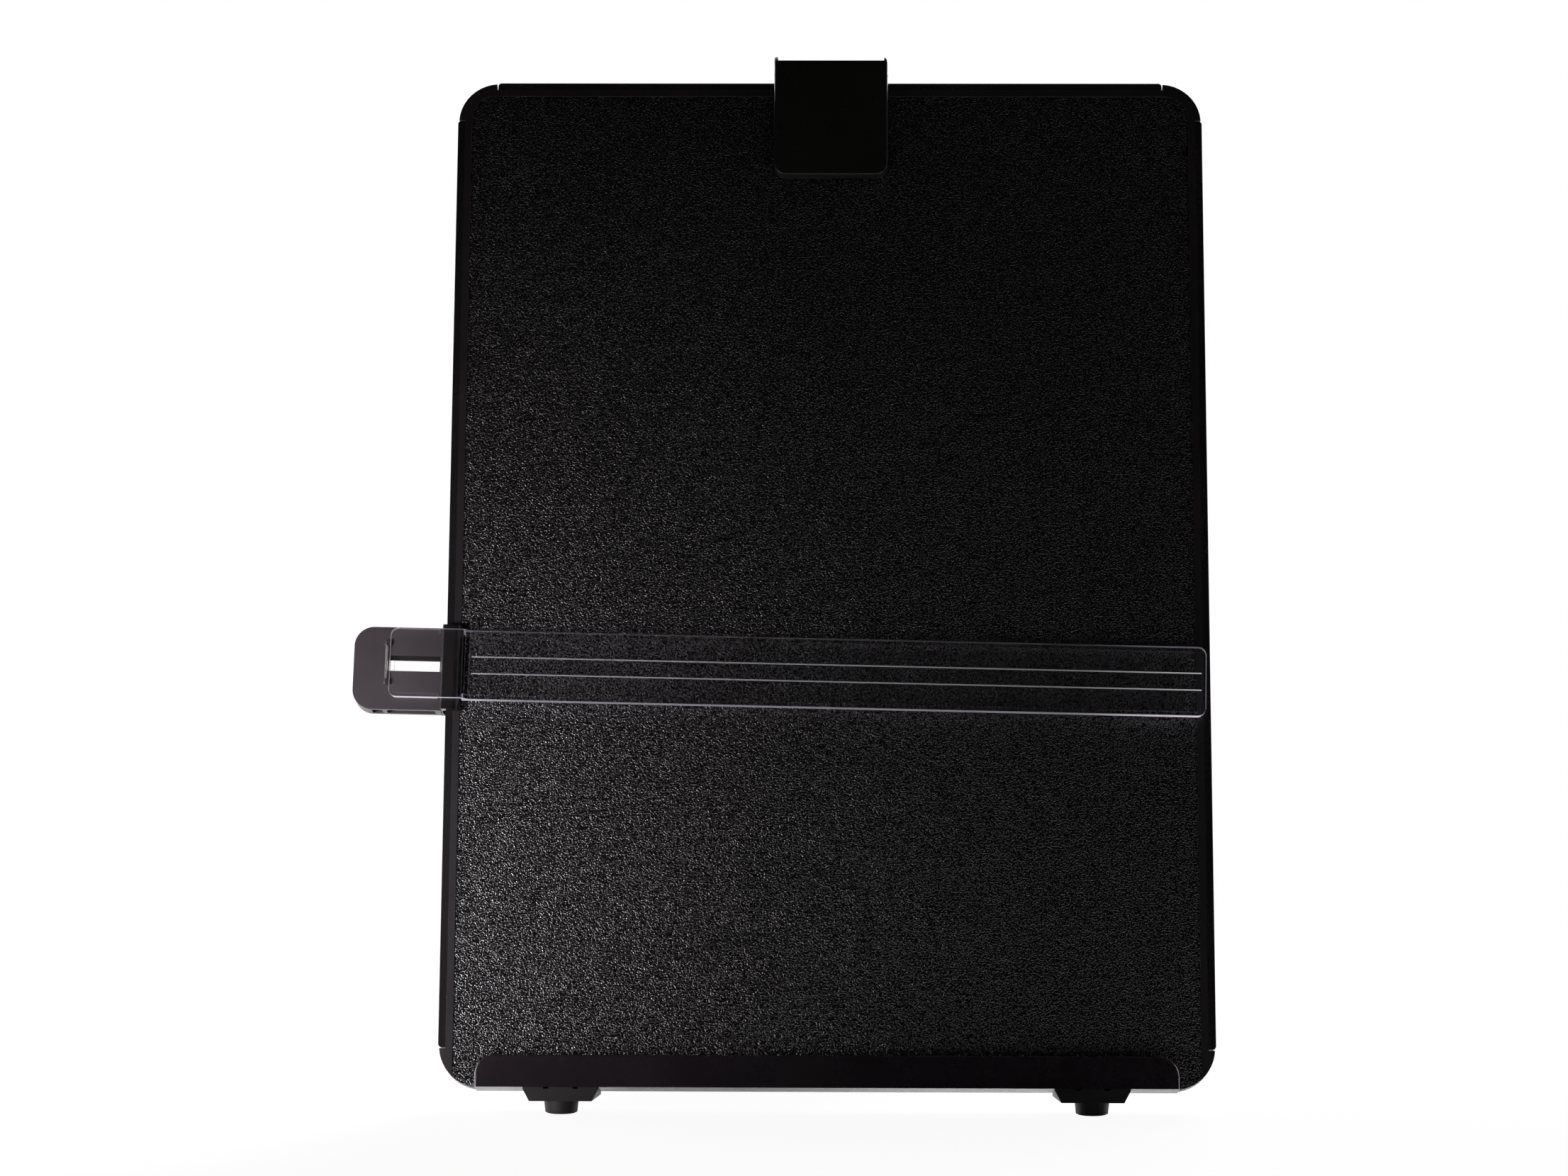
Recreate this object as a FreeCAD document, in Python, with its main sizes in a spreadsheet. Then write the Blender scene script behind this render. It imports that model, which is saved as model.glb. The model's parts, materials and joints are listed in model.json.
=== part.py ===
"""Desk copy holder with a sliding, hinged line guide.

A grained board leans back on two rubber feet and an easel leg.  A sprung clip
slides along the top rail, and a clear line guide is carried by a slider that
grips the left edge of the board.  All sizes are millimetres, +Z is up, the
grained face looks towards -Y and the origin is on the desk, under the middle
of the whole object.

Each piece is drawn in the frame of the sub-assembly that it belongs to:
  board frame   x right, y from the grained face to the back, z up the board
  clip frame    the board frame moved up to the top edge
  slider frame  the board frame moved to the left edge and turned by the droop
  leg frame     at the easel hinge, z up along the leg
"""
import FreeCAD
import Part
import Sketcher
import math
import os

# ---------------------------------------------------------------- driving sizes
SIZES = {
    # board
    "board_width": 232,
    "board_height": 315,
    "board_depth": 6.0,
    "board_skin": 2.2,
    "board_wall": 2.0,
    "seat_wall": 1.7,
    "board_corner": 12.5,
    "lean_angle": 14.5,
    "desk_gap": 7.0,
    "border_width": 4.0,
    "field_step": 0.25,
    "field_corner": 7.0,
    "rib_rise": 1.8,
    "rib_width": 1.4,
    "boss_radius": 3.2,
    # rails let into the two sides and the top
    "rail_width": 2.2,
    "rail_proud": 0.3,
    "rail_overrun": 0.4,
    "rail_end_gap": 0.35,
    "rail_end_round": 1.0,
    "rail_groove_depth": 0.5,
    "rail_groove_width": 1.6,
    # document ledge
    "ledge_length": 209.4,
    "ledge_gap": 5.4,
    "ledge_lip": 1.8,
    "ledge_height": 9.7,
    "ledge_web": 2.0,
    "ledge_drop": 0.6,
    "ledge_tuck": 3.6,
    "ledge_corner": 6.0,
    "tongue_width": 8.0,
    "tongue_thickness": 1.3,
    "tongue_rise": 4.0,
    # front feet
    "foot_spacing": 158,
    "foot_setback": 1.4,
    "foot_radius": 5.2,
    "foot_tip_radius": 4.8,
    "foot_height": 4.1,
    "stem_radius": 2.2,
    "stem_length": 1.4,
    "bracket_width": 22.6,
    "bracket_nose_width": 18.6,
    "bracket_inset": 0.2,
    "tab_height": 20,
    "tab_thickness": 2.0,
    "notch_spacing": 8.8,
    "notch_width": 1.6,
    "notch_depth": 0.5,
    "notch_run": 3.4,
    # screws
    "screw_radius": 1.1,
    "screw_head_radius": 2.1,
    "screw_dome_radius": 1.3,
    "screw_head_height": 1.3,
    "screw_grip": 3.2,
    "tab_screw_spacing": 14,
    "tab_screw_height": 14,
    # easel hinge
    "hinge_height": 212,
    "plate_width": 62,
    "plate_height": 22,
    "plate_thickness": 2.0,
    "plate_screw_across": 54,
    "plate_screw_up": 14,
    "knuckle_radius": 4.0,
    "knuckle_gap": 0.5,
    "pin_radius": 1.5,
    "pin_overhang": 1.8,
    "lug_thickness": 3.0,
    "washer_radius": 3.3,
    "washer_thickness": 0.5,
    "clip_ring_radius": 2.9,
    "clip_ring_thickness": 0.8,
    # easel leg
    "leg_angle": 10,
    "leg_top_width": 40,
    "leg_foot_width": 84,
    "leg_shoulder": 8,
    "leg_depth": 5.0,
    "leg_skin": 1.8,
    "leg_wall": 2.0,
    "leg_corner": 8.0,
    "leg_rib_width": 1.6,
    "heel_rise": 6.0,
    "leg_pad_height": 3.2,
    "leg_pad_width": 16,
    "leg_pad_spacing": 50,
    # document clip
    "clip_rest": 0.45,
    "clip_width": 35.4,
    "clip_wall": 1.1,
    "clip_plate": 1.5,
    "clip_front": 5.6,
    "clip_reach": 31.4,
    "clip_rise": 6.1,
    "cheek_rise": 8.3,
    "clip_bend": 4.4,
    "clip_corner": 3.8,
    "clip_flange_back": 1.2,
    "eyelet_radius": 3.4,
    "clip_pin_radius": 1.0,
    "clip_pin_height": 4.0,
    "clip_pin_depth": 3.6,
    "saddle_width": 32,
    "saddle_wall": 1.5,
    "saddle_web": 1.25,
    "saddle_jaw": 5.0,
    "ear_thickness": 2.0,
    "ear_radius": 2.6,
    "coil_radius": 1.9,
    "coil_wire": 0.6,
    "coil_length": 10,
    "grip_width": 26,
    "grip_height": 4.4,
    # slider
    "slider_rest": 127.6,
    "droop_angle": 1.2,
    "pad_length": 26.6,
    "pad_height": 25.5,
    "pad_front": 2.6,
    "pad_back": 5.0,
    "pad_corner": 6.0,
    "pad_drop": 0.74,
    "column_width": 6.0,
    "column_height": 26.2,
    "column_front": 3.6,
    "column_round": 2.4,
    "slide_gap": 0.6,
    "face_gap": 0.35,
    "jaw_thickness": 1.6,
    "hook_thickness": 1.4,
    "hook_back_reach": 1.95,
    "shell_wall": 1.4,
    "shell_top": 1.75,
    "shell_rib": 1.3,
    "window_length": 15.8,
    "window_height": 4.7,
    "leaf_length": 16,
    "leaf_width": 2.8,
    "leaf_thickness": 0.25,
    # line guide
    "guide_rise": 0.8,
    "guide_height": 21.3,
    "guide_reach": 230.8,
    "guide_web": 1.35,
    "guide_rim": 1.4,
    "guide_front": 3.3,
    "guide_lift": 0.5,
    "guide_left_corner": 2.4,
    "guide_right_corner": 2.6,
    "guide_step_run": 2.0,
    "guide_pad_gap": 0.3,
    "scribe_spacing": 5.2,
    "scribe_width": 0.35,
    "scribe_depth": 0.25,
    "guide_hinge_offset": 18.3,
    "guide_hinge_lift": 1.15,
    "guide_knuckle_radius": 0.85,
    "guide_knuckle_length": 10,
    "guide_ear_length": 1.6,
    "guide_pin_radius": 0.4,
    # clearances
    "fit": 0.15,
    "pin_fit": 0.04,
    "press_gap": 0.02,
    "end_gap": 0.2,
}

RIB_ROWS = 6
RIB_COLUMNS = 4
LEDGE_TONGUES = 5
LEG_CROSS_RIBS = 4
COIL_TURNS = 9
CUT_MARGIN = 1.0
OVERLAP = 0.4
SMALL_ROUND = 0.6


class Size:
    """A length or angle that keeps its value with the sheet expression behind it."""

    def __init__(self, value, text):
        self.value = value
        self.text = text

    @staticmethod
    def of(number):
        if isinstance(number, Size):
            return number
        return Size(float(number), repr(float(number)))

    def __add__(self, other):
        other = Size.of(other)
        return Size(self.value + other.value, f"({self.text} + {other.text})")

    def __radd__(self, other):
        return Size.of(other) + self

    def __sub__(self, other):
        other = Size.of(other)
        return Size(self.value - other.value, f"({self.text} - {other.text})")

    def __rsub__(self, other):
        return Size.of(other) - self

    def __mul__(self, other):
        other = Size.of(other)
        return Size(self.value * other.value, f"({self.text} * {other.text})")

    def __rmul__(self, other):
        return Size.of(other) * self

    def __truediv__(self, other):
        other = Size.of(other)
        return Size(self.value / other.value, f"({self.text} / {other.text})")

    def __neg__(self):
        return Size.of(0) - self


def sine(angle):
    """Sine of an angle in degrees."""
    return Size(math.sin(math.radians(angle.value)), f"sin({angle.text} * 1 deg)")


def cosine(angle):
    """Cosine of an angle in degrees."""
    return Size(math.cos(math.radians(angle.value)), f"cos({angle.text} * 1 deg)")


class Sheet:
    """The spreadsheet of driving sizes, read back as Size values by name."""

    def __init__(self, document):
        self.cells = document.addObject("Spreadsheet::Sheet", "dims")
        for row, (name, value) in enumerate(SIZES.items(), start=1):
            self.cells.set(f"A{row}", name)
            self.cells.set(f"B{row}", str(value))
            self.cells.setAlias(f"B{row}", name)
        document.recompute()

    def __getattr__(self, name):
        return Size(float(self.cells.get(name)), f"dims.{name}")


doc = FreeCAD.newDocument("copy_holder")
D = Sheet(doc)


# ---------------------------------------------------------------- drawing helpers
def polygon(*points):
    """A closed outline through the given (u, v) points."""
    return ("polygon", points)


def rectangle(u_low, v_low, u_high, v_high):
    """A closed rectangle between two opposite corners."""
    return polygon((u_low, v_low), (u_high, v_low), (u_high, v_high), (u_low, v_high))


def circle(u, v, radius):
    """A circle about (u, v)."""
    return ("circle", (u, v, radius))


def new_body(label):
    """An empty body whose label names the piece."""
    body = doc.addObject("PartDesign::Body", label)
    body.Label = label
    return body


def origin_part(body, role):
    """One of the body's own origin planes or axes."""
    return next(item for item in body.Origin.OriginFeatures if item.Role == role)


def bind(item, path, size):
    """Tie a property to the sheet."""
    item.setExpression(path, Size.of(size).text)


def draw(body, plane, outlines, offset):
    """A sketch on an origin plane, moved along its normal and tied to the sheet."""
    sketch = body.newObject("Sketcher::SketchObject", f"{body.Label}_sketch")
    sketch.AttachmentSupport = [(origin_part(body, f"{plane}_Plane"), "")]
    sketch.MapMode = "FlatFace"
    bind(sketch, "AttachmentOffset.Base.z", offset)
    for kind, data in outlines:
        if kind == "circle":
            draw_circle(sketch, *data)
        else:
            draw_polygon(sketch, data)
    return sketch


def draw_circle(sketch, u, v, radius):
    """One circle, held by its centre and radius."""
    u, v, radius = Size.of(u), Size.of(v), Size.of(radius)
    centre = FreeCAD.Vector(u.value, v.value, 0)
    item = sketch.addGeometry(Part.Circle(centre, FreeCAD.Vector(0, 0, 1), radius.value), False)
    rules = [
        ("DistanceX", (-1, 1, item, 3), u),
        ("DistanceY", (-1, 1, item, 3), v),
        ("Radius", (item,), radius),
    ]
    for kind, where, size in rules:
        number = sketch.addConstraint(Sketcher.Constraint(kind, *where, size.value))
        bind(sketch, f"Constraints[{number}]", size)


def draw_polygon(sketch, points):
    """Straight lines joined end to end, each corner held from the sketch origin."""
    sized = [(Size.of(u), Size.of(v)) for u, v in points]
    corners = [FreeCAD.Vector(u.value, v.value, 0) for u, v in sized]
    following = corners[1:] + corners[:1]
    lines = [Part.LineSegment(here, there) for here, there in zip(corners, following)]
    items = sketch.addGeometry(lines, False)
    for item, after in zip(items, items[1:] + items[:1]):
        sketch.addConstraint(Sketcher.Constraint("Coincident", item, 2, after, 1))
    for item, (u, v) in zip(items, sized):
        for kind, size in (("DistanceX", u), ("DistanceY", v)):
            rule = Sketcher.Constraint(kind, -1, 1, item, 1, size.value)
            bind(sketch, f"Constraints[{sketch.addConstraint(rule)}]", size)


def add(body, plane, outlines, low, high):
    """Fill outlines between two levels along the plane's axis (Y for XZ)."""
    low, high = Size.of(low), Size.of(high)
    offset = -high if plane == "XZ" else low
    sketch = draw(body, plane, outlines, offset)
    pad = body.newObject("PartDesign::Pad", f"{body.Label}_pad")
    pad.Profile = sketch
    bind(pad, "Length", high - low)
    check_change(body, pad)
    return pad


def cut(body, plane, outlines, low, high):
    """Remove outlines between two levels along the plane's axis (Y for XZ)."""
    low, high = Size.of(low), Size.of(high)
    offset = -low if plane == "XZ" else high
    sketch = draw(body, plane, outlines, offset)
    pocket = body.newObject("PartDesign::Pocket", f"{body.Label}_pocket")
    pocket.Profile = sketch
    bind(pocket, "Length", high - low)
    check_change(body, pocket)
    return pocket


def spin(body, outline):
    """Turn an outline on the XZ plane about the body's Z axis."""
    sketch = draw(body, "XZ", [outline], 0)
    turned = body.newObject("PartDesign::Revolution", f"{body.Label}_turned")
    turned.Profile = sketch
    turned.ReferenceAxis = (sketch, ["V_Axis"])
    turned.Angle = 360
    check_change(body, turned)


def check_change(body, feature):
    """Stop when a feature has failed or has left its body as it was."""
    base = feature.BaseFeature
    before = base.Shape.Volume if base else 0
    doc.recompute()
    if not feature.isValid() or feature.Shape.isNull():
        raise RuntimeError(f"{feature.Label} of {body.Label} failed")
    if abs(feature.Shape.Volume - before) < 1e-6:
        raise RuntimeError(f"{feature.Label} of {body.Label} changes nothing")


def edge_names(body, axis, places):
    """Straight edges along an axis, picked by where they cross its normal plane."""
    along = "XYZ".index(axis)
    across = [index for index in range(3) if index != along]
    wanted = [[Size.of(value).value for value in place] for place in places]
    names = []
    for number, edge in enumerate(body.Tip.Shape.Edges, start=1):
        if edge.Curve.TypeId != "Part::GeomLine":
            continue
        if abs(abs(edge.Curve.Direction[along]) - 1) > 1e-6:
            continue
        middle = edge.CenterOfMass
        for place in wanted:
            if all(abs(middle[index] - value) < 0.01 for index, value in zip(across, place)):
                names.append(f"Edge{number}")
    if not names:
        raise RuntimeError(f"{body.Label} has no {axis} edge there")
    return names


def fillet(body, radius, axis, places):
    """Round the edges along an axis at the given places."""
    names = edge_names(body, axis, places)
    base = body.Tip
    rounded = body.newObject("PartDesign::Fillet", f"{body.Label}_rounds")
    rounded.Base = (base, names)
    bind(rounded, "Radius", radius)
    check_change(body, rounded)


def mirrored(value):
    """The same size on both sides of the middle."""
    return [-value, value]


def spread(low, high, count):
    """Evenly spaced places between two limits, the limits left out."""
    return [low + (high - low) * (number + 1) / (count + 1) for number in range(count)]


# ---------------------------------------------------------------- shared places
HALF = D.board_width / 2
SEAT_SIDE = HALF + D.rail_proud - D.rail_width
SEAT_TOP = D.board_height + D.rail_proud - D.rail_width
RAIL_START = D.board_corner - D.rail_overrun
RAIL_SEAT_START = RAIL_START - D.rail_end_gap
LEDGE_HALF = D.ledge_length / 2
LEDGE_FRONT = D.ledge_gap + D.ledge_lip
WEB_TOP = D.ledge_web - D.ledge_drop
LIP_TOP = D.ledge_height - D.ledge_drop
TONGUE_PLACES = spread(-LEDGE_HALF, LEDGE_HALF, LEDGE_TONGUES)
PILOT_RADIUS = D.screw_radius + D.press_gap
SCREW_CLEAR = D.screw_radius + D.fit
HINGE_STANDOFF = D.plate_thickness + D.knuckle_radius + D.knuckle_gap
HINGE_DEPTH = D.board_depth + HINGE_STANDOFF
LUG_INNER = D.leg_top_width / 2 + D.washer_thickness + 2 * D.press_gap
LUG_OUTER = LUG_INNER + D.lug_thickness
SADDLE_HALF = D.saddle_width / 2
GUIDE_HALF = D.guide_height / 2
HINGE_X = -D.guide_hinge_offset
HINGE_Y = -(D.pad_front + D.guide_hinge_lift)


def nose_bottom(depth):
    """Height in the board frame of the foot bracket's level underside at a depth."""
    drop = D.desk_gap - D.foot_height
    return (depth * sine(D.lean_angle) - drop) / cosine(D.lean_angle)


def foot_places():
    """The x of each front foot."""
    return mirrored(D.foot_spacing / 2)


def tab_screws():
    """The x and z of the screws that hold the two foot brackets."""
    half = D.tab_screw_spacing / 2
    return [(foot + step, D.tab_screw_height) for foot in foot_places() for step in mirrored(half)]


def plate_screws():
    """The x and z of the screws that hold the hinge bracket."""
    return [
        (across, D.hinge_height + up)
        for across in mirrored(D.plate_screw_across / 2)
        for up in mirrored(D.plate_screw_up / 2)
    ]


# ---------------------------------------------------------------- board
def make_board_panel():
    """Moulded panel: grained field, smooth border, ribbed hollow back and screw bosses."""
    body = new_body("board_panel")
    height, depth, skin, wall = D.board_height, D.board_depth, D.board_skin, D.board_wall
    add(body, "XZ", [rectangle(-HALF, 0, HALF, height)], 0, depth)

    inner_half = SEAT_SIDE - D.seat_wall
    inner_top = SEAT_TOP - D.seat_wall
    cut(body, "XZ", [rectangle(-inner_half, wall, inner_half, inner_top)], skin, depth)
    inner_corner = D.board_corner - (HALF - inner_half)
    fillet(body, inner_corner, "Y", [(x, z) for x in mirrored(inner_half) for z in (wall, inner_top)])
    fillet(body, D.board_corner, "Y", [(x, z) for x in mirrored(HALF) for z in (0, height)])

    field_half = HALF - D.border_width
    field_top = height - D.border_width
    around = rectangle(-HALF - CUT_MARGIN, -2 * CUT_MARGIN, HALF + CUT_MARGIN, height + CUT_MARGIN)
    field = rectangle(-field_half, -CUT_MARGIN, field_half, field_top)
    cut(body, "XZ", [around, field], 0, D.field_step)
    fillet(body, D.field_corner, "Y", [(x, field_top) for x in mirrored(field_half)])

    for sign in (-1, 1):
        outside = HALF + CUT_MARGIN
        seat = rectangle(sign * SEAT_SIDE, RAIL_SEAT_START, sign * outside, height - RAIL_SEAT_START)
        cut(body, "XZ", [seat], 0, depth)
    half_seat = HALF - RAIL_SEAT_START
    top_seat = rectangle(-half_seat, SEAT_TOP, half_seat, height + CUT_MARGIN)
    cut(body, "XZ", [top_seat], 0, depth)

    half_rib = D.rib_width / 2
    rows = [
        rectangle(-inner_half - OVERLAP, z - half_rib, inner_half + OVERLAP, z + half_rib)
        for z in spread(wall, inner_top, RIB_ROWS)
    ]
    add(body, "XZ", rows, skin - OVERLAP, skin + D.rib_rise)
    columns = [
        rectangle(x - half_rib, wall - OVERLAP, x + half_rib, inner_top + OVERLAP)
        for x in spread(-inner_half, inner_half, RIB_COLUMNS)
    ]
    add(body, "XZ", columns, skin - OVERLAP, skin + D.rib_rise)

    screws = tab_screws() + plate_screws()
    add(body, "XZ", [circle(x, z, D.boss_radius) for x, z in screws], skin - OVERLAP, depth)
    pilots = [circle(x, z, PILOT_RADIUS) for x, z in screws]
    cut(body, "XZ", pilots, depth - D.screw_grip - D.fit, depth)

    reach = LEDGE_HALF + D.fit
    cut(body, "XZ", [rectangle(-reach, -CUT_MARGIN, reach, WEB_TOP)], 0, D.ledge_tuck + D.fit)
    half_slot = D.tongue_width / 2 + D.fit
    slot_top = WEB_TOP + D.tongue_rise + D.fit
    slots = [
        rectangle(x - half_slot, WEB_TOP - OVERLAP, x + half_slot, slot_top)
        for x in TONGUE_PLACES
    ]
    cut(body, "XZ", slots, D.ledge_tuck - D.tongue_thickness - D.fit, D.ledge_tuck + D.fit)
    return body


def make_side_rail(label, sign):
    """Slide strip let into one side, with a shallow groove along its outer face."""
    body = new_body(label)
    outer = HALF + D.rail_proud
    low, high = RAIL_START, D.board_height - RAIL_START
    front, back = D.field_step, D.board_depth
    add(body, "XY", [rectangle(sign * SEAT_SIDE, front, sign * outer, back)], low, high)
    fillet(body, D.rail_end_round, "Y", [(sign * outer, z) for z in (low, high)])
    middle = (front + back) / 2
    groove = polygon(
        (sign * (outer + CUT_MARGIN), middle - D.rail_groove_width / 2),
        (sign * outer, middle - D.rail_groove_width / 2),
        (sign * (outer - D.rail_groove_depth), middle),
        (sign * outer, middle + D.rail_groove_width / 2),
        (sign * (outer + CUT_MARGIN), middle + D.rail_groove_width / 2),
    )
    cut(body, "XY", [groove], low, high)
    return body


def make_top_rail():
    """Slide strip let into the top edge, the same section as the side rails."""
    body = new_body("top_rail")
    outer = D.board_height + D.rail_proud
    half_length = HALF - RAIL_START
    front, back = D.field_step, D.board_depth
    add(body, "YZ", [rectangle(front, SEAT_TOP, back, outer)], -half_length, half_length)
    fillet(body, D.rail_end_round, "Y", [(x, outer) for x in mirrored(half_length)])
    middle = (front + back) / 2
    groove = polygon(
        (middle - D.rail_groove_width / 2, outer + CUT_MARGIN),
        (middle - D.rail_groove_width / 2, outer),
        (middle, outer - D.rail_groove_depth),
        (middle + D.rail_groove_width / 2, outer),
        (middle + D.rail_groove_width / 2, outer + CUT_MARGIN),
    )
    cut(body, "YZ", [groove], -half_length, half_length)
    return body


def make_document_ledge():
    """Channel under the board that the sheets stand in, held by tongues through slots."""
    body = new_body("document_ledge")
    section = polygon(
        (-LEDGE_FRONT, -D.ledge_drop),
        (D.ledge_tuck, -D.ledge_drop),
        (D.ledge_tuck, WEB_TOP),
        (-D.ledge_gap, WEB_TOP),
        (-D.ledge_gap, LIP_TOP),
        (-LEDGE_FRONT, LIP_TOP),
    )
    add(body, "YZ", [section], -LEDGE_HALF, LEDGE_HALF)
    fillet(body, D.ledge_corner, "Y", [(x, LIP_TOP) for x in mirrored(LEDGE_HALF)])
    fillet(body, SMALL_ROUND, "X", [(-LEDGE_FRONT, LIP_TOP)])
    half_tongue = D.tongue_width / 2
    tongues = [
        rectangle(x - half_tongue, WEB_TOP - OVERLAP, x + half_tongue, WEB_TOP + D.tongue_rise)
        for x in TONGUE_PLACES
    ]
    add(body, "XZ", tongues, D.ledge_tuck - D.tongue_thickness, D.ledge_tuck)
    return body


# ---------------------------------------------------------------- front feet
def make_foot_bracket(label, foot):
    """Wedge under the ledge with a level underside, and a tab screwed to the back."""
    body = new_body(f"{label}_moulding")
    nose = LEDGE_FRONT - D.bracket_inset
    heel = D.board_depth + D.tab_thickness
    step = D.ledge_tuck + D.fit
    section = polygon(
        (-nose, -D.ledge_drop),
        (step, -D.ledge_drop),
        (step, 0),
        (D.board_depth, 0),
        (D.board_depth, D.tab_height),
        (heel, D.tab_height),
        (heel, nose_bottom(heel)),
        (-nose, nose_bottom(-nose)),
    )
    half = D.bracket_width / 2
    add(body, "YZ", [section], foot - half, foot + half)
    low = nose_bottom(-nose)
    for sign in (-1, 1):
        corner = polygon(
            (foot + sign * half, -D.ledge_drop - D.notch_depth),
            (foot + sign * (half + CUT_MARGIN), -D.ledge_drop - D.notch_depth),
            (foot + sign * (half + CUT_MARGIN), low - CUT_MARGIN),
            (foot + sign * D.bracket_nose_width / 2, low - CUT_MARGIN),
            (foot + sign * D.bracket_nose_width / 2, low),
        )
        cut(body, "XZ", [corner], -nose, heel)
    notches = [
        rectangle(
            foot + side - D.notch_width / 2,
            -D.ledge_drop - D.notch_depth,
            foot + side + D.notch_width / 2,
            -D.ledge_drop + D.notch_depth,
        )
        for side in mirrored(D.notch_spacing / 2)
    ]
    cut(body, "XZ", notches, -nose, D.notch_run - nose)
    fillet(body, D.tab_thickness, "Y", [(foot + x, D.tab_height) for x in mirrored(half)])
    half_screws = D.tab_screw_spacing / 2
    holes = [circle(foot + x, D.tab_screw_height, SCREW_CLEAR) for x in mirrored(half_screws)]
    cut(body, "XZ", holes, D.board_depth, heel)

    socket = doc.addObject("Part::Cylinder", f"{label}_socket")
    bind(socket, "Radius", D.stem_radius + D.press_gap)
    bind(socket, "Height", D.stem_length + D.fit + OVERLAP)
    upright = FreeCAD.Rotation(FreeCAD.Vector(1, 0, 0), D.lean_angle.value)
    under = FreeCAD.Vector(foot.value, -D.foot_setback.value, nose_bottom(-D.foot_setback).value)
    start = under - upright.multVec(FreeCAD.Vector(0, 0, OVERLAP))
    socket.Placement = FreeCAD.Placement(start, upright)
    bracket = doc.addObject("Part::Cut", label)
    bracket.Base = body
    bracket.Tool = socket
    doc.recompute()
    return bracket


def make_rubber_foot(label):
    """Tapered rubber plug with a stem that presses into its bracket."""
    body = new_body(label)
    top = D.foot_height + D.stem_length
    spin(body, polygon(
        (0, 0),
        (D.foot_tip_radius - SMALL_ROUND, 0),
        (D.foot_tip_radius, SMALL_ROUND / 2),
        (D.foot_radius, D.foot_height),
        (D.stem_radius, D.foot_height),
        (D.stem_radius, top),
        (0, top),
    ))
    return body


# ---------------------------------------------------------------- fasteners
def make_screw_group(label, places, surface):
    """Pan-head screws driven from behind, at (x, z) places on one surface."""
    form = new_body(f"{label}_form")
    head, rise = D.screw_head_radius, D.screw_head_height
    length = surface - D.board_depth + D.screw_grip
    spin(form, polygon(
        (0, -length),
        (D.screw_radius, -length),
        (D.screw_radius, 0),
        (head, 0),
        (head, rise / 2),
        (D.screw_dome_radius, rise),
        (0, rise),
    ))
    pointing_back = FreeCAD.Rotation(FreeCAD.Vector(1, 0, 0), -90)
    copies = []
    for x, z in places:
        copy = form.Shape.copy()
        where = FreeCAD.Vector(x.value, surface.value, z.value)
        copy.Placement = FreeCAD.Placement(where, pointing_back)
        copies.append(copy)
    group = doc.addObject("Part::Feature", label)
    group.Shape = Part.makeCompound(copies)
    return group


# ---------------------------------------------------------------- easel hinge and leg
def make_hinge_bracket():
    """Plate on the back of the board with two lugs that carry the easel pin."""
    body = new_body("hinge_bracket")
    back = D.board_depth + D.plate_thickness
    half_width, half_height = D.plate_width / 2, D.plate_height / 2
    low, high = D.hinge_height - half_height, D.hinge_height + half_height
    add(body, "XZ", [rectangle(-half_width, low, half_width, high)], D.board_depth, back)
    fillet(body, D.lug_thickness, "Y", [(x, z) for x in mirrored(half_width) for z in (low, high)])
    radius, height = D.knuckle_radius, D.hinge_height
    for inner, outer in ((-LUG_OUTER, -LUG_INNER), (LUG_INNER, LUG_OUTER)):
        lug = rectangle(back - OVERLAP, height - radius, HINGE_DEPTH, height + radius)
        add(body, "YZ", [lug], inner, outer)
        add(body, "YZ", [circle(HINGE_DEPTH, height, radius)], inner, outer)
    bore = circle(HINGE_DEPTH, height, D.pin_radius + D.press_gap)
    cut(body, "YZ", [bore], -LUG_OUTER, LUG_OUTER)
    cut(body, "XZ", [circle(x, z, SCREW_CLEAR) for x, z in plate_screws()], D.board_depth, back)
    return body


def make_cross_pin(label, radius, half_length):
    """Round pin along X about its own origin."""
    body = new_body(label)
    add(body, "YZ", [circle(0, 0, radius)], -half_length, half_length)
    return body


def make_ring_group(label, bore, radius, levels):
    """Flat rings threaded on a pin along X, one between each pair of levels."""
    rings = []
    for number, (low, high) in enumerate(levels):
        ring = new_body(f"{label}_{number}")
        add(ring, "YZ", [circle(0, 0, radius), circle(0, 0, bore)], low, high)
        rings.append(ring.Shape.copy())
    group = doc.addObject("Part::Feature", label)
    group.Shape = Part.makeCompound(rings)
    return group


def leg_floor(depth):
    """Height in the leg frame of the desk at a depth behind the leg's middle plane."""
    hinge = hinge_above_desk()
    return -(hinge + depth * sine(D.leg_angle)) / cosine(D.leg_angle)


def hinge_above_desk():
    """Height of the easel pin above the desk."""
    up_board = D.hinge_height * cosine(D.lean_angle)
    return D.desk_gap + up_board - HINGE_DEPTH * sine(D.lean_angle)


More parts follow.
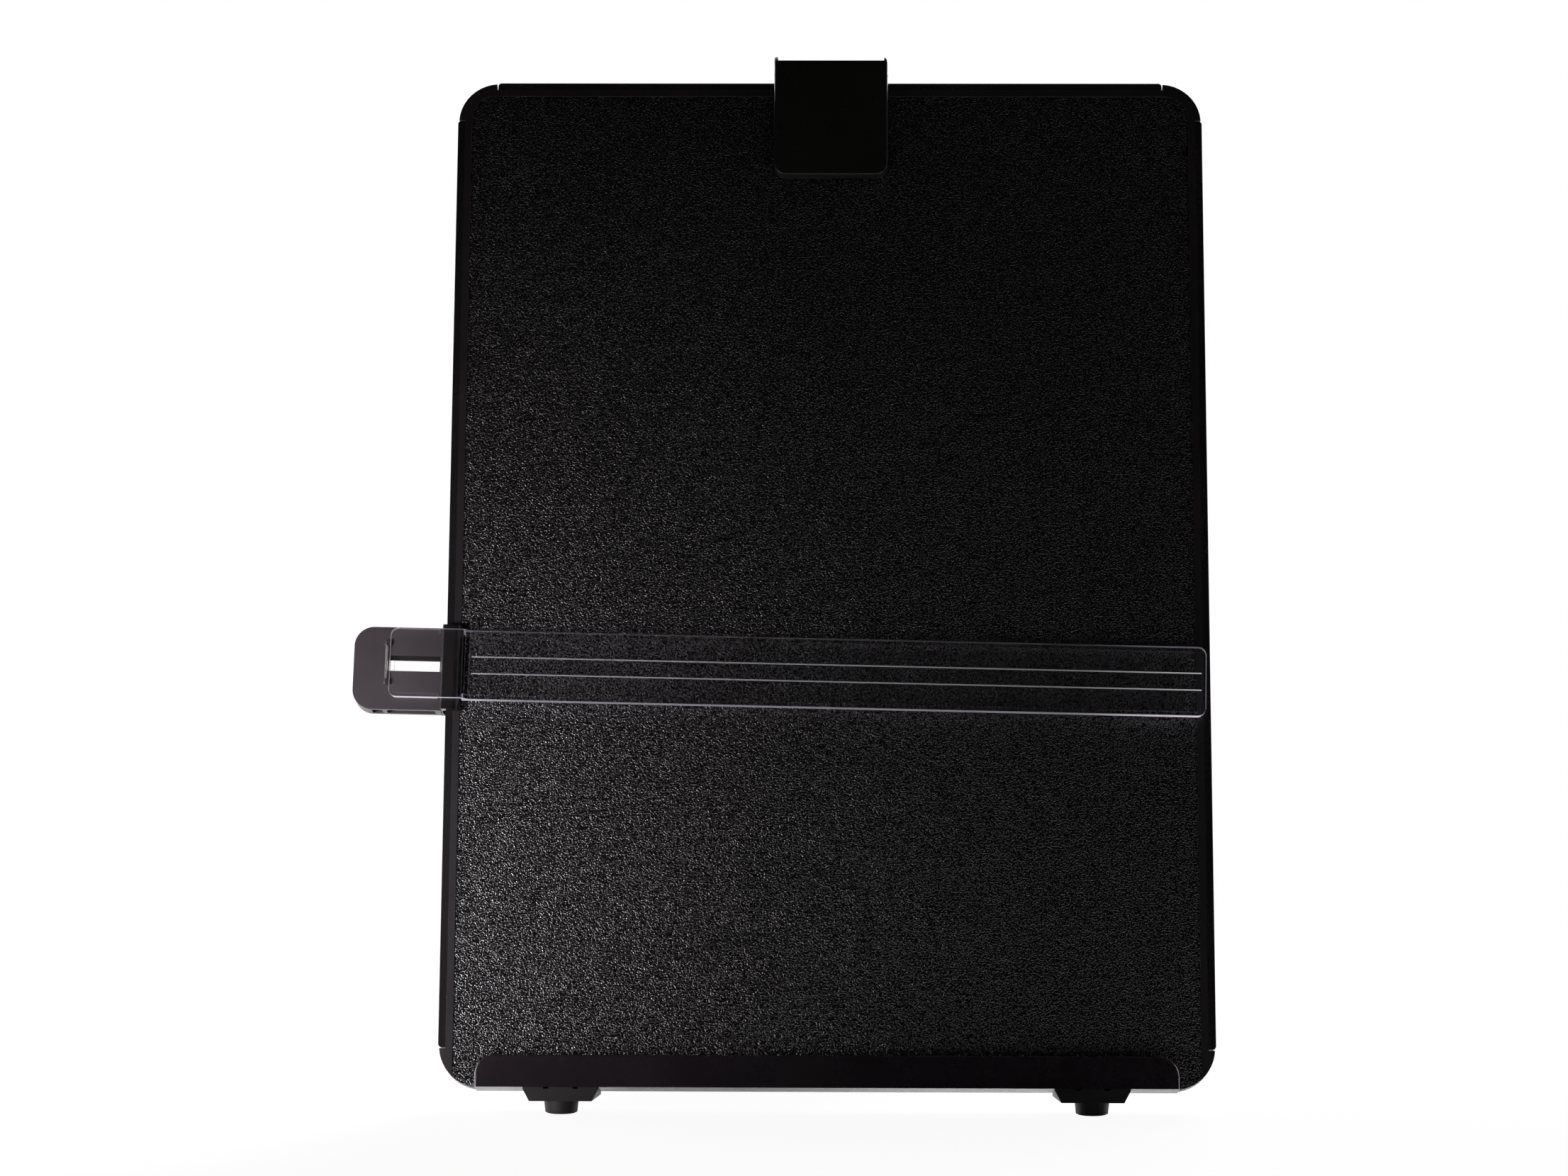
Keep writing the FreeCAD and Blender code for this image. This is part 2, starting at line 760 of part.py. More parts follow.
def make_easel_leg():
    """Tapered leg with a smooth back, a flanged and ribbed inner side and a stop heel."""
    body = new_body("easel_leg")
    half_top, half_foot = D.leg_top_width / 2, D.leg_foot_width / 2
    half_depth = D.leg_depth / 2
    end = leg_floor(Size.of(0)) + D.leg_pad_height
    outline = polygon(
        (-half_top, 0),
        (half_top, 0),
        (half_top, -D.leg_shoulder),
        (half_foot, end),
        (-half_foot, end),
        (-half_top, -D.leg_shoulder),
    )
    add(body, "XZ", [outline], -half_depth, half_depth)
    fillet(body, D.leg_corner, "Y", [(x, end) for x in mirrored(half_foot)])
    top, low = -(D.leg_shoulder + D.leg_wall), end + D.leg_wall
    hollow = polygon(
        (D.leg_wall - half_top, top),
        (half_top - D.leg_wall, top),
        (half_foot - D.leg_wall, low + D.leg_corner),
        (half_foot - D.leg_corner, low),
        (D.leg_corner - half_foot, low),
        (D.leg_wall - half_foot, low + D.leg_corner),
    )
    inner_face = half_depth - D.leg_skin
    cut(body, "XZ", [hollow], -half_depth, inner_face)

    half_rib = D.leg_rib_width / 2
    rib_front = -half_depth + D.leg_skin / 2
    spine = rectangle(-half_rib, low - OVERLAP, half_rib, top + OVERLAP)
    add(body, "XZ", [spine], rib_front, inner_face + OVERLAP)
    for z in spread(low, top, LEG_CROSS_RIBS):
        share = (z - top) / (low - top)
        reach = half_top + (half_foot - half_top) * share - D.leg_wall + OVERLAP
        rib = rectangle(-reach, z - half_rib, reach, z + half_rib)
        add(body, "XZ", [rib], rib_front, inner_face + OVERLAP)

    add(body, "YZ", [circle(0, 0, D.knuckle_radius)], -half_top, half_top)
    facing = D.lean_angle + D.leg_angle
    near = D.knuckle_radius + D.knuckle_gap - D.press_gap - D.fit
    root = D.knuckle_radius / 2
    heel = polygon(
        (-near * cosine(facing), near * sine(facing)),
        (D.heel_rise * sine(facing) - near * cosine(facing), near * sine(facing) + D.heel_rise * cosine(facing)),
        (D.heel_rise * sine(facing) - root * cosine(facing), root * sine(facing) + D.heel_rise * cosine(facing)),
        (root * cosine(facing), -root * sine(facing)),
    )
    add(body, "YZ", [heel], -half_top + D.leg_wall, half_top - D.leg_wall)
    cut(body, "YZ", [circle(0, 0, D.pin_radius + D.pin_fit)], -half_top, half_top)
    return body


def make_leg_pads():
    """Two rubber pads under the leg, cut level with the desk."""
    half_depth = D.leg_depth / 2
    top = leg_floor(Size.of(0)) + D.leg_pad_height
    section = polygon(
        (-half_depth, top),
        (half_depth, top),
        (half_depth, leg_floor(half_depth)),
        (-half_depth, leg_floor(-half_depth)),
    )
    pads = []
    for number, middle in enumerate(mirrored(D.leg_pad_spacing / 2)):
        pad = new_body(f"leg_pad_{number}")
        half = D.leg_pad_width / 2
        add(pad, "YZ", [section], middle - half, middle + half)
        pads.append(pad.Shape.copy())
    group = doc.addObject("Part::Feature", "leg_foot_pads")
    group.Shape = Part.makeCompound(pads)
    return group


# ---------------------------------------------------------------- document clip
def make_clip_saddle():
    """Saddle that hooks over the top rail and carries the clip's pin in two ears."""
    body = new_body("clip_saddle")
    front = -(D.face_gap + D.saddle_wall)
    rear_in = D.board_depth + D.face_gap
    rear_out = rear_in + D.saddle_wall
    under = D.rail_proud + D.face_gap
    top = under + D.saddle_web
    hook_top = -(D.board_height - SEAT_TOP + D.seat_wall + D.slide_gap)
    hook_low = hook_top - D.hook_thickness
    hook_front = rear_in - D.hook_back_reach
    section = polygon(
        (front, -D.saddle_jaw),
        (-D.face_gap, -D.saddle_jaw),
        (-D.face_gap, under),
        (rear_in, under),
        (rear_in, hook_top),
        (hook_front, hook_top),
        (hook_front, hook_low),
        (rear_out, hook_low),
        (rear_out, top),
        (front, top),
    )
    add(body, "YZ", [section], -SADDLE_HALF, SADDLE_HALF)
    depth, height, radius = D.clip_pin_depth, D.clip_pin_height, D.ear_radius
    for low, high in (
        (-SADDLE_HALF, D.ear_thickness - SADDLE_HALF),
        (SADDLE_HALF - D.ear_thickness, SADDLE_HALF),
    ):
        add(body, "YZ", [rectangle(depth - radius, top - OVERLAP, depth + radius, height)], low, high)
        add(body, "YZ", [circle(depth, height, radius)], low, high)
    bore = circle(depth, height, D.clip_pin_radius + D.press_gap)
    cut(body, "YZ", [bore], -SADDLE_HALF, SADDLE_HALF)
    return body


def make_clip_lever():
    """Tray-shaped lever: a bare front plate with a rim that ends in two eyelets."""
    body = new_body("clip_lever")
    half = D.clip_width / 2
    inside = half - D.clip_wall
    front, low = -D.clip_front, -D.clip_reach
    crown = D.cheek_rise
    eye_back = D.clip_pin_depth + D.eyelet_radius
    eye_low = D.rail_proud + D.face_gap + D.fit
    back = -D.clip_flange_back
    silhouette = polygon(
        (front, low),
        (front, crown),
        (eye_back, crown),
        (eye_back, D.clip_pin_height - D.fit),
        (D.clip_pin_depth + D.clip_pin_radius, eye_low),
        (back, eye_low),
        (back, low),
    )
    add(body, "YZ", [silhouette], -half, half)
    fillet(body, D.clip_corner, "Y", [(x, low) for x in mirrored(half)])
    fillet(body, D.clip_bend, "X", [(front, crown)])
    fillet(body, D.eyelet_radius - D.fit, "X", [(eye_back, crown)])
    fillet(body, SMALL_ROUND, "Z", [(x, front) for x in mirrored(half)])
    plate_back = front + D.clip_plate
    plate_under = D.clip_rise - D.clip_plate
    hollow = polygon(
        (plate_back, low + D.clip_wall),
        (plate_back, plate_under),
        (eye_back + CUT_MARGIN, plate_under),
        (eye_back + CUT_MARGIN, low + D.clip_wall),
    )
    cut(body, "YZ", [hollow], -inside, inside)
    plate_end = D.clip_pin_depth - D.ear_radius - 2 * D.face_gap
    over = polygon(
        (front - CUT_MARGIN, D.clip_rise),
        (plate_end, D.clip_rise),
        (plate_end, plate_under - OVERLAP),
        (eye_back + CUT_MARGIN, plate_under - OVERLAP),
        (eye_back + CUT_MARGIN, crown + CUT_MARGIN),
        (front - CUT_MARGIN, crown + CUT_MARGIN),
    )
    cut(body, "YZ", [over], -inside, inside)
    fillet(body, D.clip_bend - D.clip_plate, "X", [(plate_back, plate_under)])
    bore = circle(D.clip_pin_depth, D.clip_pin_height, D.clip_pin_radius + D.pin_fit)
    cut(body, "YZ", [bore], -half, half)
    return body


def make_clip_grip():
    """Rubber strip inside the lower edge of the lever that presses on the sheets."""
    body = new_body("clip_grip")
    half = D.grip_width / 2
    low = D.clip_wall - D.clip_reach
    front = D.clip_plate - D.clip_front
    add(body, "XZ", [rectangle(-half, low, half, low + D.grip_height)], front, -D.guide_pad_gap)
    fillet(body, SMALL_ROUND, "X", [(-D.guide_pad_gap, z) for z in (low, low + D.grip_height)])
    return body


def make_clip_spring():
    """Close-wound torsion spring about the clip's pin, with its two legs."""
    half = (D.coil_length / 2).value
    wire, outer = D.coil_wire.value, D.coil_radius.value
    pitch = 2 * half / COIL_TURNS
    inner = outer - wire
    edges = [Part.LineSegment(FreeCAD.Vector(-half, inner, 0), FreeCAD.Vector(-half, outer - wire / 2, 0))]
    for turn in range(COIL_TURNS):
        start = -half + turn * pitch
        low = FreeCAD.Vector(start, outer - wire / 2, 0)
        peak = FreeCAD.Vector(start + pitch / 2, outer, 0)
        high = FreeCAD.Vector(start + pitch, outer - wire / 2, 0)
        edges.append(Part.Arc(low, peak, high))
    edges.append(Part.LineSegment(FreeCAD.Vector(half, outer - wire / 2, 0), FreeCAD.Vector(half, inner, 0)))
    edges.append(Part.LineSegment(FreeCAD.Vector(half, inner, 0), FreeCAD.Vector(-half, inner, 0)))
    wire_loop = Part.Wire([edge.toShape() for edge in edges])
    origin, along = FreeCAD.Vector(0, 0, 0), FreeCAD.Vector(1, 0, 0)
    coil = Part.Face(wire_loop).revolve(origin, along, 360)
    level = -(outer - wire / 2)
    forward = (D.clip_pin_depth + D.clip_front - D.clip_plate - D.face_gap).value
    backward = (D.board_depth - D.clip_pin_depth + D.face_gap).value
    leg_place = half - wire / 2
    front_leg = Part.makeCylinder(
        wire / 2, forward, FreeCAD.Vector(-leg_place, 0, level), FreeCAD.Vector(0, -1, 0)
    )
    back_leg = Part.makeCylinder(
        wire / 2, backward, FreeCAD.Vector(leg_place, 0, level), FreeCAD.Vector(0, 1, 0)
    )
    spring = doc.addObject("Part::Feature", "clip_spring")
    spring.Shape = coil.fuse([front_leg, back_leg]).removeSplitter()
    return spring


# ---------------------------------------------------------------- slider
def make_slider_body():
    """Hollow moulded pad with a channel that grips the edge of the board."""
    body = new_body("slider_body")
    web_in = -(D.rail_proud + D.slide_gap)
    pad_right = web_in - D.jaw_thickness / 2
    pad_left = pad_right - D.pad_length
    half_pad, half_column = D.pad_height / 2, D.column_height / 2
    pad_low, pad_high = -half_pad - D.pad_drop, half_pad - D.pad_drop
    pad = rectangle(pad_left, pad_low, pad_right + OVERLAP, pad_high)
    add(body, "XZ", [pad], -D.pad_front, D.pad_back)
    fillet(body, D.pad_corner, "Y", [(pad_left, z) for z in (pad_low, pad_high)])

    column_right = pad_right + D.column_width
    rear_in = D.board_depth + D.face_gap
    rear_out = rear_in + D.jaw_thickness
    hook_front = rear_in - D.hook_back_reach
    hook_out = column_right + D.hook_thickness
    channel = polygon(
        (pad_right, -D.column_front),
        (column_right, -D.column_front),
        (column_right, -D.face_gap),
        (web_in, -D.face_gap),
        (web_in, rear_in),
        (column_right, rear_in),
        (column_right, hook_front),
        (hook_out, hook_front),
        (hook_out, rear_out),
        (pad_right, rear_out),
    )
    add(body, "XY", [channel], -half_column, half_column)
    fillet(body, D.column_round, "Z", [(column_right, -D.column_front)])
    fillet(body, D.column_front - D.pad_front - D.fit, "Z", [(pad_right, -D.column_front)])

    window_right = pad_right - D.guide_pad_gap
    window_left = window_right - D.window_length
    window_low = D.guide_rise - D.window_height / 2
    window_high = D.guide_rise + D.window_height / 2
    window = rectangle(window_left, window_low, window_right, window_high)
    cut(body, "XZ", [window], -D.pad_front, D.pad_back)

    wall_front = D.shell_wall - D.pad_front
    wall_back = D.pad_back - D.shell_wall
    rib_left = window_left - D.shell_rib
    pocket_left, pocket_high = pad_left + D.shell_wall, pad_high - D.shell_top
    past_corner = pad_left + D.pad_corner
    left_pocket = polygon(
        (past_corner, pad_low),
        (rib_left, pad_low),
        (rib_left, pocket_high),
        (past_corner, pocket_high),
        (pocket_left, pocket_high - D.pad_corner + D.shell_wall),
        (pocket_left, pad_low + D.pad_corner),
    )
    cut(body, "XZ", [left_pocket], wall_front, wall_back)
    right_pocket = rectangle(window_left, wall_front, pad_right - D.shell_wall, wall_back)
    cut(body, "XY", [right_pocket], pad_low, window_low - D.shell_wall)

    recess = rectangle(web_in - D.leaf_thickness * 2, D.shell_wall, web_in, D.shell_wall + D.leaf_width + 2 * D.fit)
    half_recess = D.leaf_length / 2 + D.fit
    cut(body, "XY", [recess], -half_recess, half_recess)

    radius = D.guide_knuckle_radius
    low = D.guide_knuckle_length / 2 + D.end_gap
    high = low + D.guide_ear_length
    for start, end in ((D.guide_rise - high, D.guide_rise - low), (D.guide_rise + low, D.guide_rise + high)):
        stalk = rectangle(HINGE_X - radius, HINGE_Y, HINGE_X + radius, OVERLAP - D.pad_front)
        add(body, "XY", [stalk], start, end)
        add(body, "XY", [circle(HINGE_X, HINGE_Y, radius)], start, end)
        cut(body, "XY", [circle(HINGE_X, HINGE_Y, D.guide_pin_radius + D.press_gap)], start, end)
    return body


def make_slider_leaf():
    """Bowed leaf spring between the slider and its rail, which holds the height."""
    half = D.leaf_length.value / 2
    thick = D.leaf_thickness.value
    seat = -(D.rail_proud + D.slide_gap).value - thick * 2
    apex = -(D.rail_proud + D.fit).value - thick
    front = (D.shell_wall + D.fit).value
    low, middle, high = (
        FreeCAD.Vector(seat, front, -half),
        FreeCAD.Vector(apex, front, 0),
        FreeCAD.Vector(seat, front, half),
    )
    across = FreeCAD.Vector(thick, 0, 0)
    loop = Part.Wire([
        Part.Arc(low, middle, high).toShape(),
        Part.LineSegment(high, high + across).toShape(),
        Part.Arc(high + across, middle + across, low + across).toShape(),
        Part.LineSegment(low + across, low).toShape(),
    ])
    leaf = doc.addObject("Part::Feature", "slider_leaf_spring")
    leaf.Shape = Part.Face(loop).extrude(FreeCAD.Vector(0, D.leaf_width.value, 0))
    return leaf


# ---------------------------------------------------------------- line guide
def make_line_guide():
    """Clear stepped tray with a rim all round, two scribed lines and a hinge knuckle."""
    body = new_body("line_guide")
    column_right = D.column_width - D.rail_proud - D.slide_gap - D.jaw_thickness / 2
    column_left = column_right - D.column_width
    left = HINGE_X + D.guide_knuckle_radius + D.guide_pad_gap
    tongue_back = -(D.column_front + D.face_gap)
    tongue_front = tongue_back - D.guide_web
    rim_back = -(D.pad_front + D.guide_pad_gap)
    step_start = column_right + D.slide_gap
    step_end = step_start + D.guide_step_run
    right = D.guide_reach
    profile = polygon(
        (left, tongue_front),
        (step_start, tongue_front),
        (step_end, -D.guide_front),
        (right, -D.guide_front),
        (right, -D.guide_lift),
        (step_start, -D.guide_lift),
        (step_start, tongue_back),
        (column_left - D.slide_gap, tongue_back),
        (column_left - D.slide_gap, rim_back),
        (left, rim_back),
    )
    low, high = D.guide_rise - GUIDE_HALF, D.guide_rise + GUIDE_HALF
    add(body, "XY", [profile], low, high)
    fillet(body, D.guide_left_corner, "Y", [(left, z) for z in (low, high)])
    fillet(body, D.guide_right_corner, "Y", [(right, z) for z in (low, high)])
    web_back = D.guide_web - D.guide_front
    half_web = D.guide_web / 2
    hollow = polygon(
        (left + D.guide_rim, tongue_back),
        (step_start + half_web, tongue_back),
        (step_end + half_web, web_back),
        (right - D.guide_rim, web_back),
        (right - D.guide_rim, CUT_MARGIN),
        (left + D.guide_rim, CUT_MARGIN),
    )
    cut(body, "XY", [hollow], low + D.guide_rim, high - D.guide_rim)
    half_scribe = D.scribe_width / 2
    lines = [
        rectangle(step_end + half_web, z - half_scribe, right - D.guide_rim, z + half_scribe)
        for z in (D.guide_rise + offset for offset in mirrored(D.scribe_spacing / 2))
    ]
    cut(body, "XZ", lines, web_back - D.scribe_depth, web_back)

    radius, half_knuckle = D.guide_knuckle_radius, D.guide_knuckle_length / 2
    start, end = D.guide_rise - half_knuckle, D.guide_rise + half_knuckle
    arm = rectangle(HINGE_X, HINGE_Y - radius, left + OVERLAP, HINGE_Y)
    add(body, "XY", [arm], start, end)
    add(body, "XY", [circle(HINGE_X, HINGE_Y, radius)], start, end)
    cut(body, "XY", [circle(HINGE_X, HINGE_Y, D.guide_pin_radius + D.pin_fit)], start, end)
    return body


def make_guide_pin():
    """Fine steel pin through the slider's ears and the guide's knuckle."""
    body = new_body("guide_hinge_pin")
    half = D.guide_knuckle_length / 2 + D.end_gap + D.guide_ear_length
    outline = circle(HINGE_X, HINGE_Y, D.guide_pin_radius)
    add(body, "XY", [outline], D.guide_rise - half, D.guide_rise + half)
    return body


# ---------------------------------------------------------------- assembly
def frames():
    """The placement of each sub-assembly frame, before the origin is moved."""
    x_axis, y_axis = FreeCAD.Vector(1, 0, 0), FreeCAD.Vector(0, 1, 0)
    still = FreeCAD.Rotation()
    board = FreeCAD.Placement(
        FreeCAD.Vector(0, 0, D.desk_gap.value), FreeCAD.Rotation(x_axis, -D.lean_angle.value)
    )
    top_edge = FreeCAD.Placement(FreeCAD.Vector(D.clip_rest.value, 0, D.board_height.value), still)
    left_edge = FreeCAD.Placement(
        FreeCAD.Vector(-HALF.value, 0, D.slider_rest.value),
        FreeCAD.Rotation(y_axis, D.droop_angle.value),
    )
    hinge = board.multVec(FreeCAD.Vector(0, HINGE_DEPTH.value, D.hinge_height.value))
    pin = FreeCAD.Vector(0, D.clip_pin_depth.value, D.clip_pin_height.value)
    return {
        "board": board,
        "clip": board * top_edge,
        "clip_pin": board * top_edge * FreeCAD.Placement(pin, still),
        "slider": board * left_edge,
        "hinge": FreeCAD.Placement(hinge, FreeCAD.Rotation(x_axis, -D.lean_angle.value)),
        "leg": FreeCAD.Placement(hinge, FreeCAD.Rotation(x_axis, D.leg_angle.value)),
    }


def foot_placement(board, foot):
    """A rubber foot stands upright on the desk below its socket."""
    setback = -D.foot_setback
    under = board.multVec(FreeCAD.Vector(foot.value, setback.value, nose_bottom(setback).value))
    base = FreeCAD.Vector(under.x, under.y, under.z - D.foot_height.value)
    return FreeCAD.Placement(base, FreeCAD.Rotation())


def build():
    """Make every piece and pair it with the placement of its frame."""
    at = frames()
    left_foot, right_foot = foot_places()
    pin_half = LUG_OUTER + D.clip_ring_thickness + D.pin_overhang / 2
    washers = [(-LUG_INNER + D.press_gap, D.press_gap - LUG_INNER + D.washer_thickness),
               (LUG_INNER - D.press_gap - D.washer_thickness, LUG_INNER - D.press_gap)]
    rings = [(-LUG_OUTER - D.clip_ring_thickness, -LUG_OUTER),
             (LUG_OUTER, LUG_OUTER + D.clip_ring_thickness)]
    tab_back = D.board_depth + D.tab_thickness
    plate_back = D.board_depth + D.plate_thickness
    pin_bore = D.pin_radius + D.press_gap
    clip_pin_half = D.clip_width / 2 + D.end_gap
    return [
        (make_board_panel(), at["board"]),
        (make_side_rail("side_rail_left", -1), at["board"]),
        (make_side_rail("side_rail_right", 1), at["board"]),
        (make_top_rail(), at["board"]),
        (make_document_ledge(), at["board"]),
        (make_foot_bracket("foot_bracket_left", left_foot), at["board"]),
        (make_foot_bracket("foot_bracket_right", right_foot), at["board"]),
        (make_rubber_foot("rubber_foot_left"), foot_placement(at["board"], left_foot)),
        (make_rubber_foot("rubber_foot_right"), foot_placement(at["board"], right_foot)),
        (make_screw_group("foot_bracket_screws", tab_screws(), tab_back), at["board"]),
        (make_hinge_bracket(), at["board"]),
        (make_screw_group("hinge_bracket_screws", plate_screws(), plate_back), at["board"]),
        (make_cross_pin("easel_hinge_pin", D.pin_radius, pin_half), at["hinge"]),
        (make_ring_group("hinge_washers", pin_bore, D.washer_radius, washers), at["hinge"]),
        (make_ring_group("hinge_pin_rings", D.pin_radius, D.clip_ring_radius, rings), at["hinge"]),
        (make_easel_leg(), at["leg"]),
        (make_leg_pads(), at["leg"]),
        (make_clip_saddle(), at["clip"]),
        (make_cross_pin("clip_pin", D.clip_pin_radius, clip_pin_half), at["clip_pin"]),
        (make_clip_spring(), at["clip_pin"]),
        (make_clip_lever(), at["clip"]),
        (make_clip_grip(), at["clip"]),
        (make_slider_body(), at["slider"]),
        (make_slider_leaf(), at["slider"]),
        (make_line_guide(), at["slider"]),
        (make_guide_pin(), at["slider"]),
    ]


def place(pieces):
    """Give each piece its frame, then move the origin under the middle of the whole."""
    for piece, frame in pieces:
        piece.Placement = frame
    doc.recompute()
    whole = Part.makeCompound([piece.Shape for piece, _ in pieces]).BoundBox
    to_origin = FreeCAD.Placement(
        FreeCAD.Vector(-whole.Center.x, -whole.Center.y, -whole.ZMin), FreeCAD.Rotation()
    )
    for piece, frame in pieces:
        piece.Placement = to_origin * frame
    doc.recompute()
    return to_origin


def check_document():
    """Stop when anything in the document has failed."""
    for item in doc.Objects:
        if "Invalid" in item.State or "Error" in item.State:
            raise RuntimeError(f"{item.Label} is {item.State}")


def write_parts(pieces):
    """Check each piece and write it to a STEP file of its own name."""
    os.makedirs("parts", exist_ok=True)
    for piece, _ in pieces:
        shape = piece.Shape
        if shape.isNull() or not shape.isValid():
            raise RuntimeError(f"{piece.Label} has no valid shape")
        shape.exportStep(f"parts/{piece.Label}.step")
        box = shape.BoundBox
        print(f"{piece.Label}: {len(shape.Solids)} solid(s), {shape.Volume / 1000:.2f} cm3, "
              f"x {box.XMin:.2f}..{box.XMax:.2f} y {box.YMin:.2f}..{box.YMax:.2f} "
              f"z {box.ZMin:.2f}..{box.ZMax:.2f}")


def report_places(to_origin):
    """Print the joint axes and the resting faces, in millimetres."""
    at = {name: to_origin * frame for name, frame in frames().items()}
    foot_spot = to_origin * foot_placement(frames()["board"], foot_places()[0])
    spots = {
        "board origin": at["board"].Base,
        "clip pin": at["clip_pin"].Base,
        "slider origin": at["slider"].Base,
        "guide hinge": at["slider"].multVec(FreeCAD.Vector(HINGE_X.value, HINGE_Y.value, 0)),
        "easel hinge": at["leg"].Base,
        "left foot": foot_spot.Base,
    }
    for name, spot in spots.items():
        print(f"place {name}: {spot.x:.4f} {spot.y:.4f} {spot.z:.4f}")
    up_board = at["board"].Rotation.multVec(FreeCAD.Vector(0, 0, 1))
    up_slider = at["slider"].Rotation.multVec(FreeCAD.Vector(0, 0, 1))
    for name, axis in (("up the board", up_board), ("up the slider", up_slider)):
        print(f"axis {name}: {axis.x:.6f} {axis.y:.6f} {axis.z:.6f}")


pieces = build()
origin_shift = place(pieces)
check_document()
write_parts(pieces)
report_places(origin_shift)
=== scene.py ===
"""Looks of a desk copy holder with a sliding, hinged line guide.

Each sub-assembly is a class that shapes and dresses its own pieces around the
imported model.  All lengths are metres, +Z is up and the grained face looks
towards -Y.
"""
from __future__ import annotations

import json
import logging
import math
from collections.abc import Callable, Mapping, Sequence
from dataclasses import dataclass
from enum import Enum

import bmesh
import bpy
from mathutils import Matrix, Vector

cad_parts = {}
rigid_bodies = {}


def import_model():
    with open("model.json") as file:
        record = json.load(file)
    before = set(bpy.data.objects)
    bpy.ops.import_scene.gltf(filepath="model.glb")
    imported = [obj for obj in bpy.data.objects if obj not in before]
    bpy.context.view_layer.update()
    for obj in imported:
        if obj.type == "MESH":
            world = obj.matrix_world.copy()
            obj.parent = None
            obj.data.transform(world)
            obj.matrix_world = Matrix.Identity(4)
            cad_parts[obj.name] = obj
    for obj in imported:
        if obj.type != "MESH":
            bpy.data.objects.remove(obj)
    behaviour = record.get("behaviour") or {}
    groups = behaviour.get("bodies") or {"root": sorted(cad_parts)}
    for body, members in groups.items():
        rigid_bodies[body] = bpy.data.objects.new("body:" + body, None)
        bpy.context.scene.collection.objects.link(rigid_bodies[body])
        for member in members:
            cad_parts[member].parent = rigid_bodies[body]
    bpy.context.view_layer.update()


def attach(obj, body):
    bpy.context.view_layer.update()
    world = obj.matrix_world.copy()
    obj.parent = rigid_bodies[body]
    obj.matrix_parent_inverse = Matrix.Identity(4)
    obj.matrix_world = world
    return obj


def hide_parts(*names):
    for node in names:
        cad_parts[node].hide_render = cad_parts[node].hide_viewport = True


log = logging.getLogger("copy_holder")

MM = 0.001
SEAM = 0.001 * MM
COLOUR_SWING = 0.15
ACRYLIC_INDEX = 1.49
SCREW_TURN = 37.0
Colour = tuple[float, float, float]
Point = tuple[float, float, float]
Span = tuple[float, float]
ACRYLIC_TINT: Colour = (0.985, 0.985, 0.998)
# Material numbers of a softened shape's faces.
PLAIN_FACE, ROUNDED_EDGE = 0, 1


# ---------------------------------------------------------------- shader maths
class Wire:
    """An output socket that shader maths is written with."""

    def __init__(self, graph: Graph, socket: bpy.types.NodeSocket) -> None:
        """Keep the graph and the socket that the value comes from."""
        self.graph = graph
        self.socket = socket

    def _math(self, operation: str, first: Wire | float, second: Wire | float) -> Wire:
        """Add a Math node of one operation."""
        return self.graph.node("ShaderNodeMath", {"operation": operation}, {0: first, 1: second})

    def __add__(self, other: Wire | float) -> Wire:
        """Sum."""
        return self._math("ADD", self, other)

    def __radd__(self, other: float) -> Wire:
        """Sum, reflected."""
        return self._math("ADD", other, self)

    def __sub__(self, other: Wire | float) -> Wire:
        """Difference."""
        return self._math("SUBTRACT", self, other)

    def __rsub__(self, other: float) -> Wire:
        """Difference, reflected."""
        return self._math("SUBTRACT", other, self)

    def __mul__(self, other: Wire | float) -> Wire:
        """Product."""
        return self._math("MULTIPLY", self, other)

    def smallest(self, other: Wire | float) -> Wire:
        """The smaller of two values."""
        return self._math("MINIMUM", self, other)

    def swing(self, amount: float) -> Wire:
        """A value of 0 to 1 turned into a swing about zero, as wide as the amount."""
        return (self - 0.5) * amount

    def smooth_step(self, low: float, high: float) -> Wire:
        """A smooth rise from 0 at low to 1 at high.

        Args:
            low: Value that gives 0.
            high: Value that gives 1.

        Returns:
            The smoothed value.
        """
        settings = {"interpolation_type": "SMOOTHSTEP"}
        return self.graph.node("ShaderNodeMapRange", settings, {0: self, 1: low, 2: high})


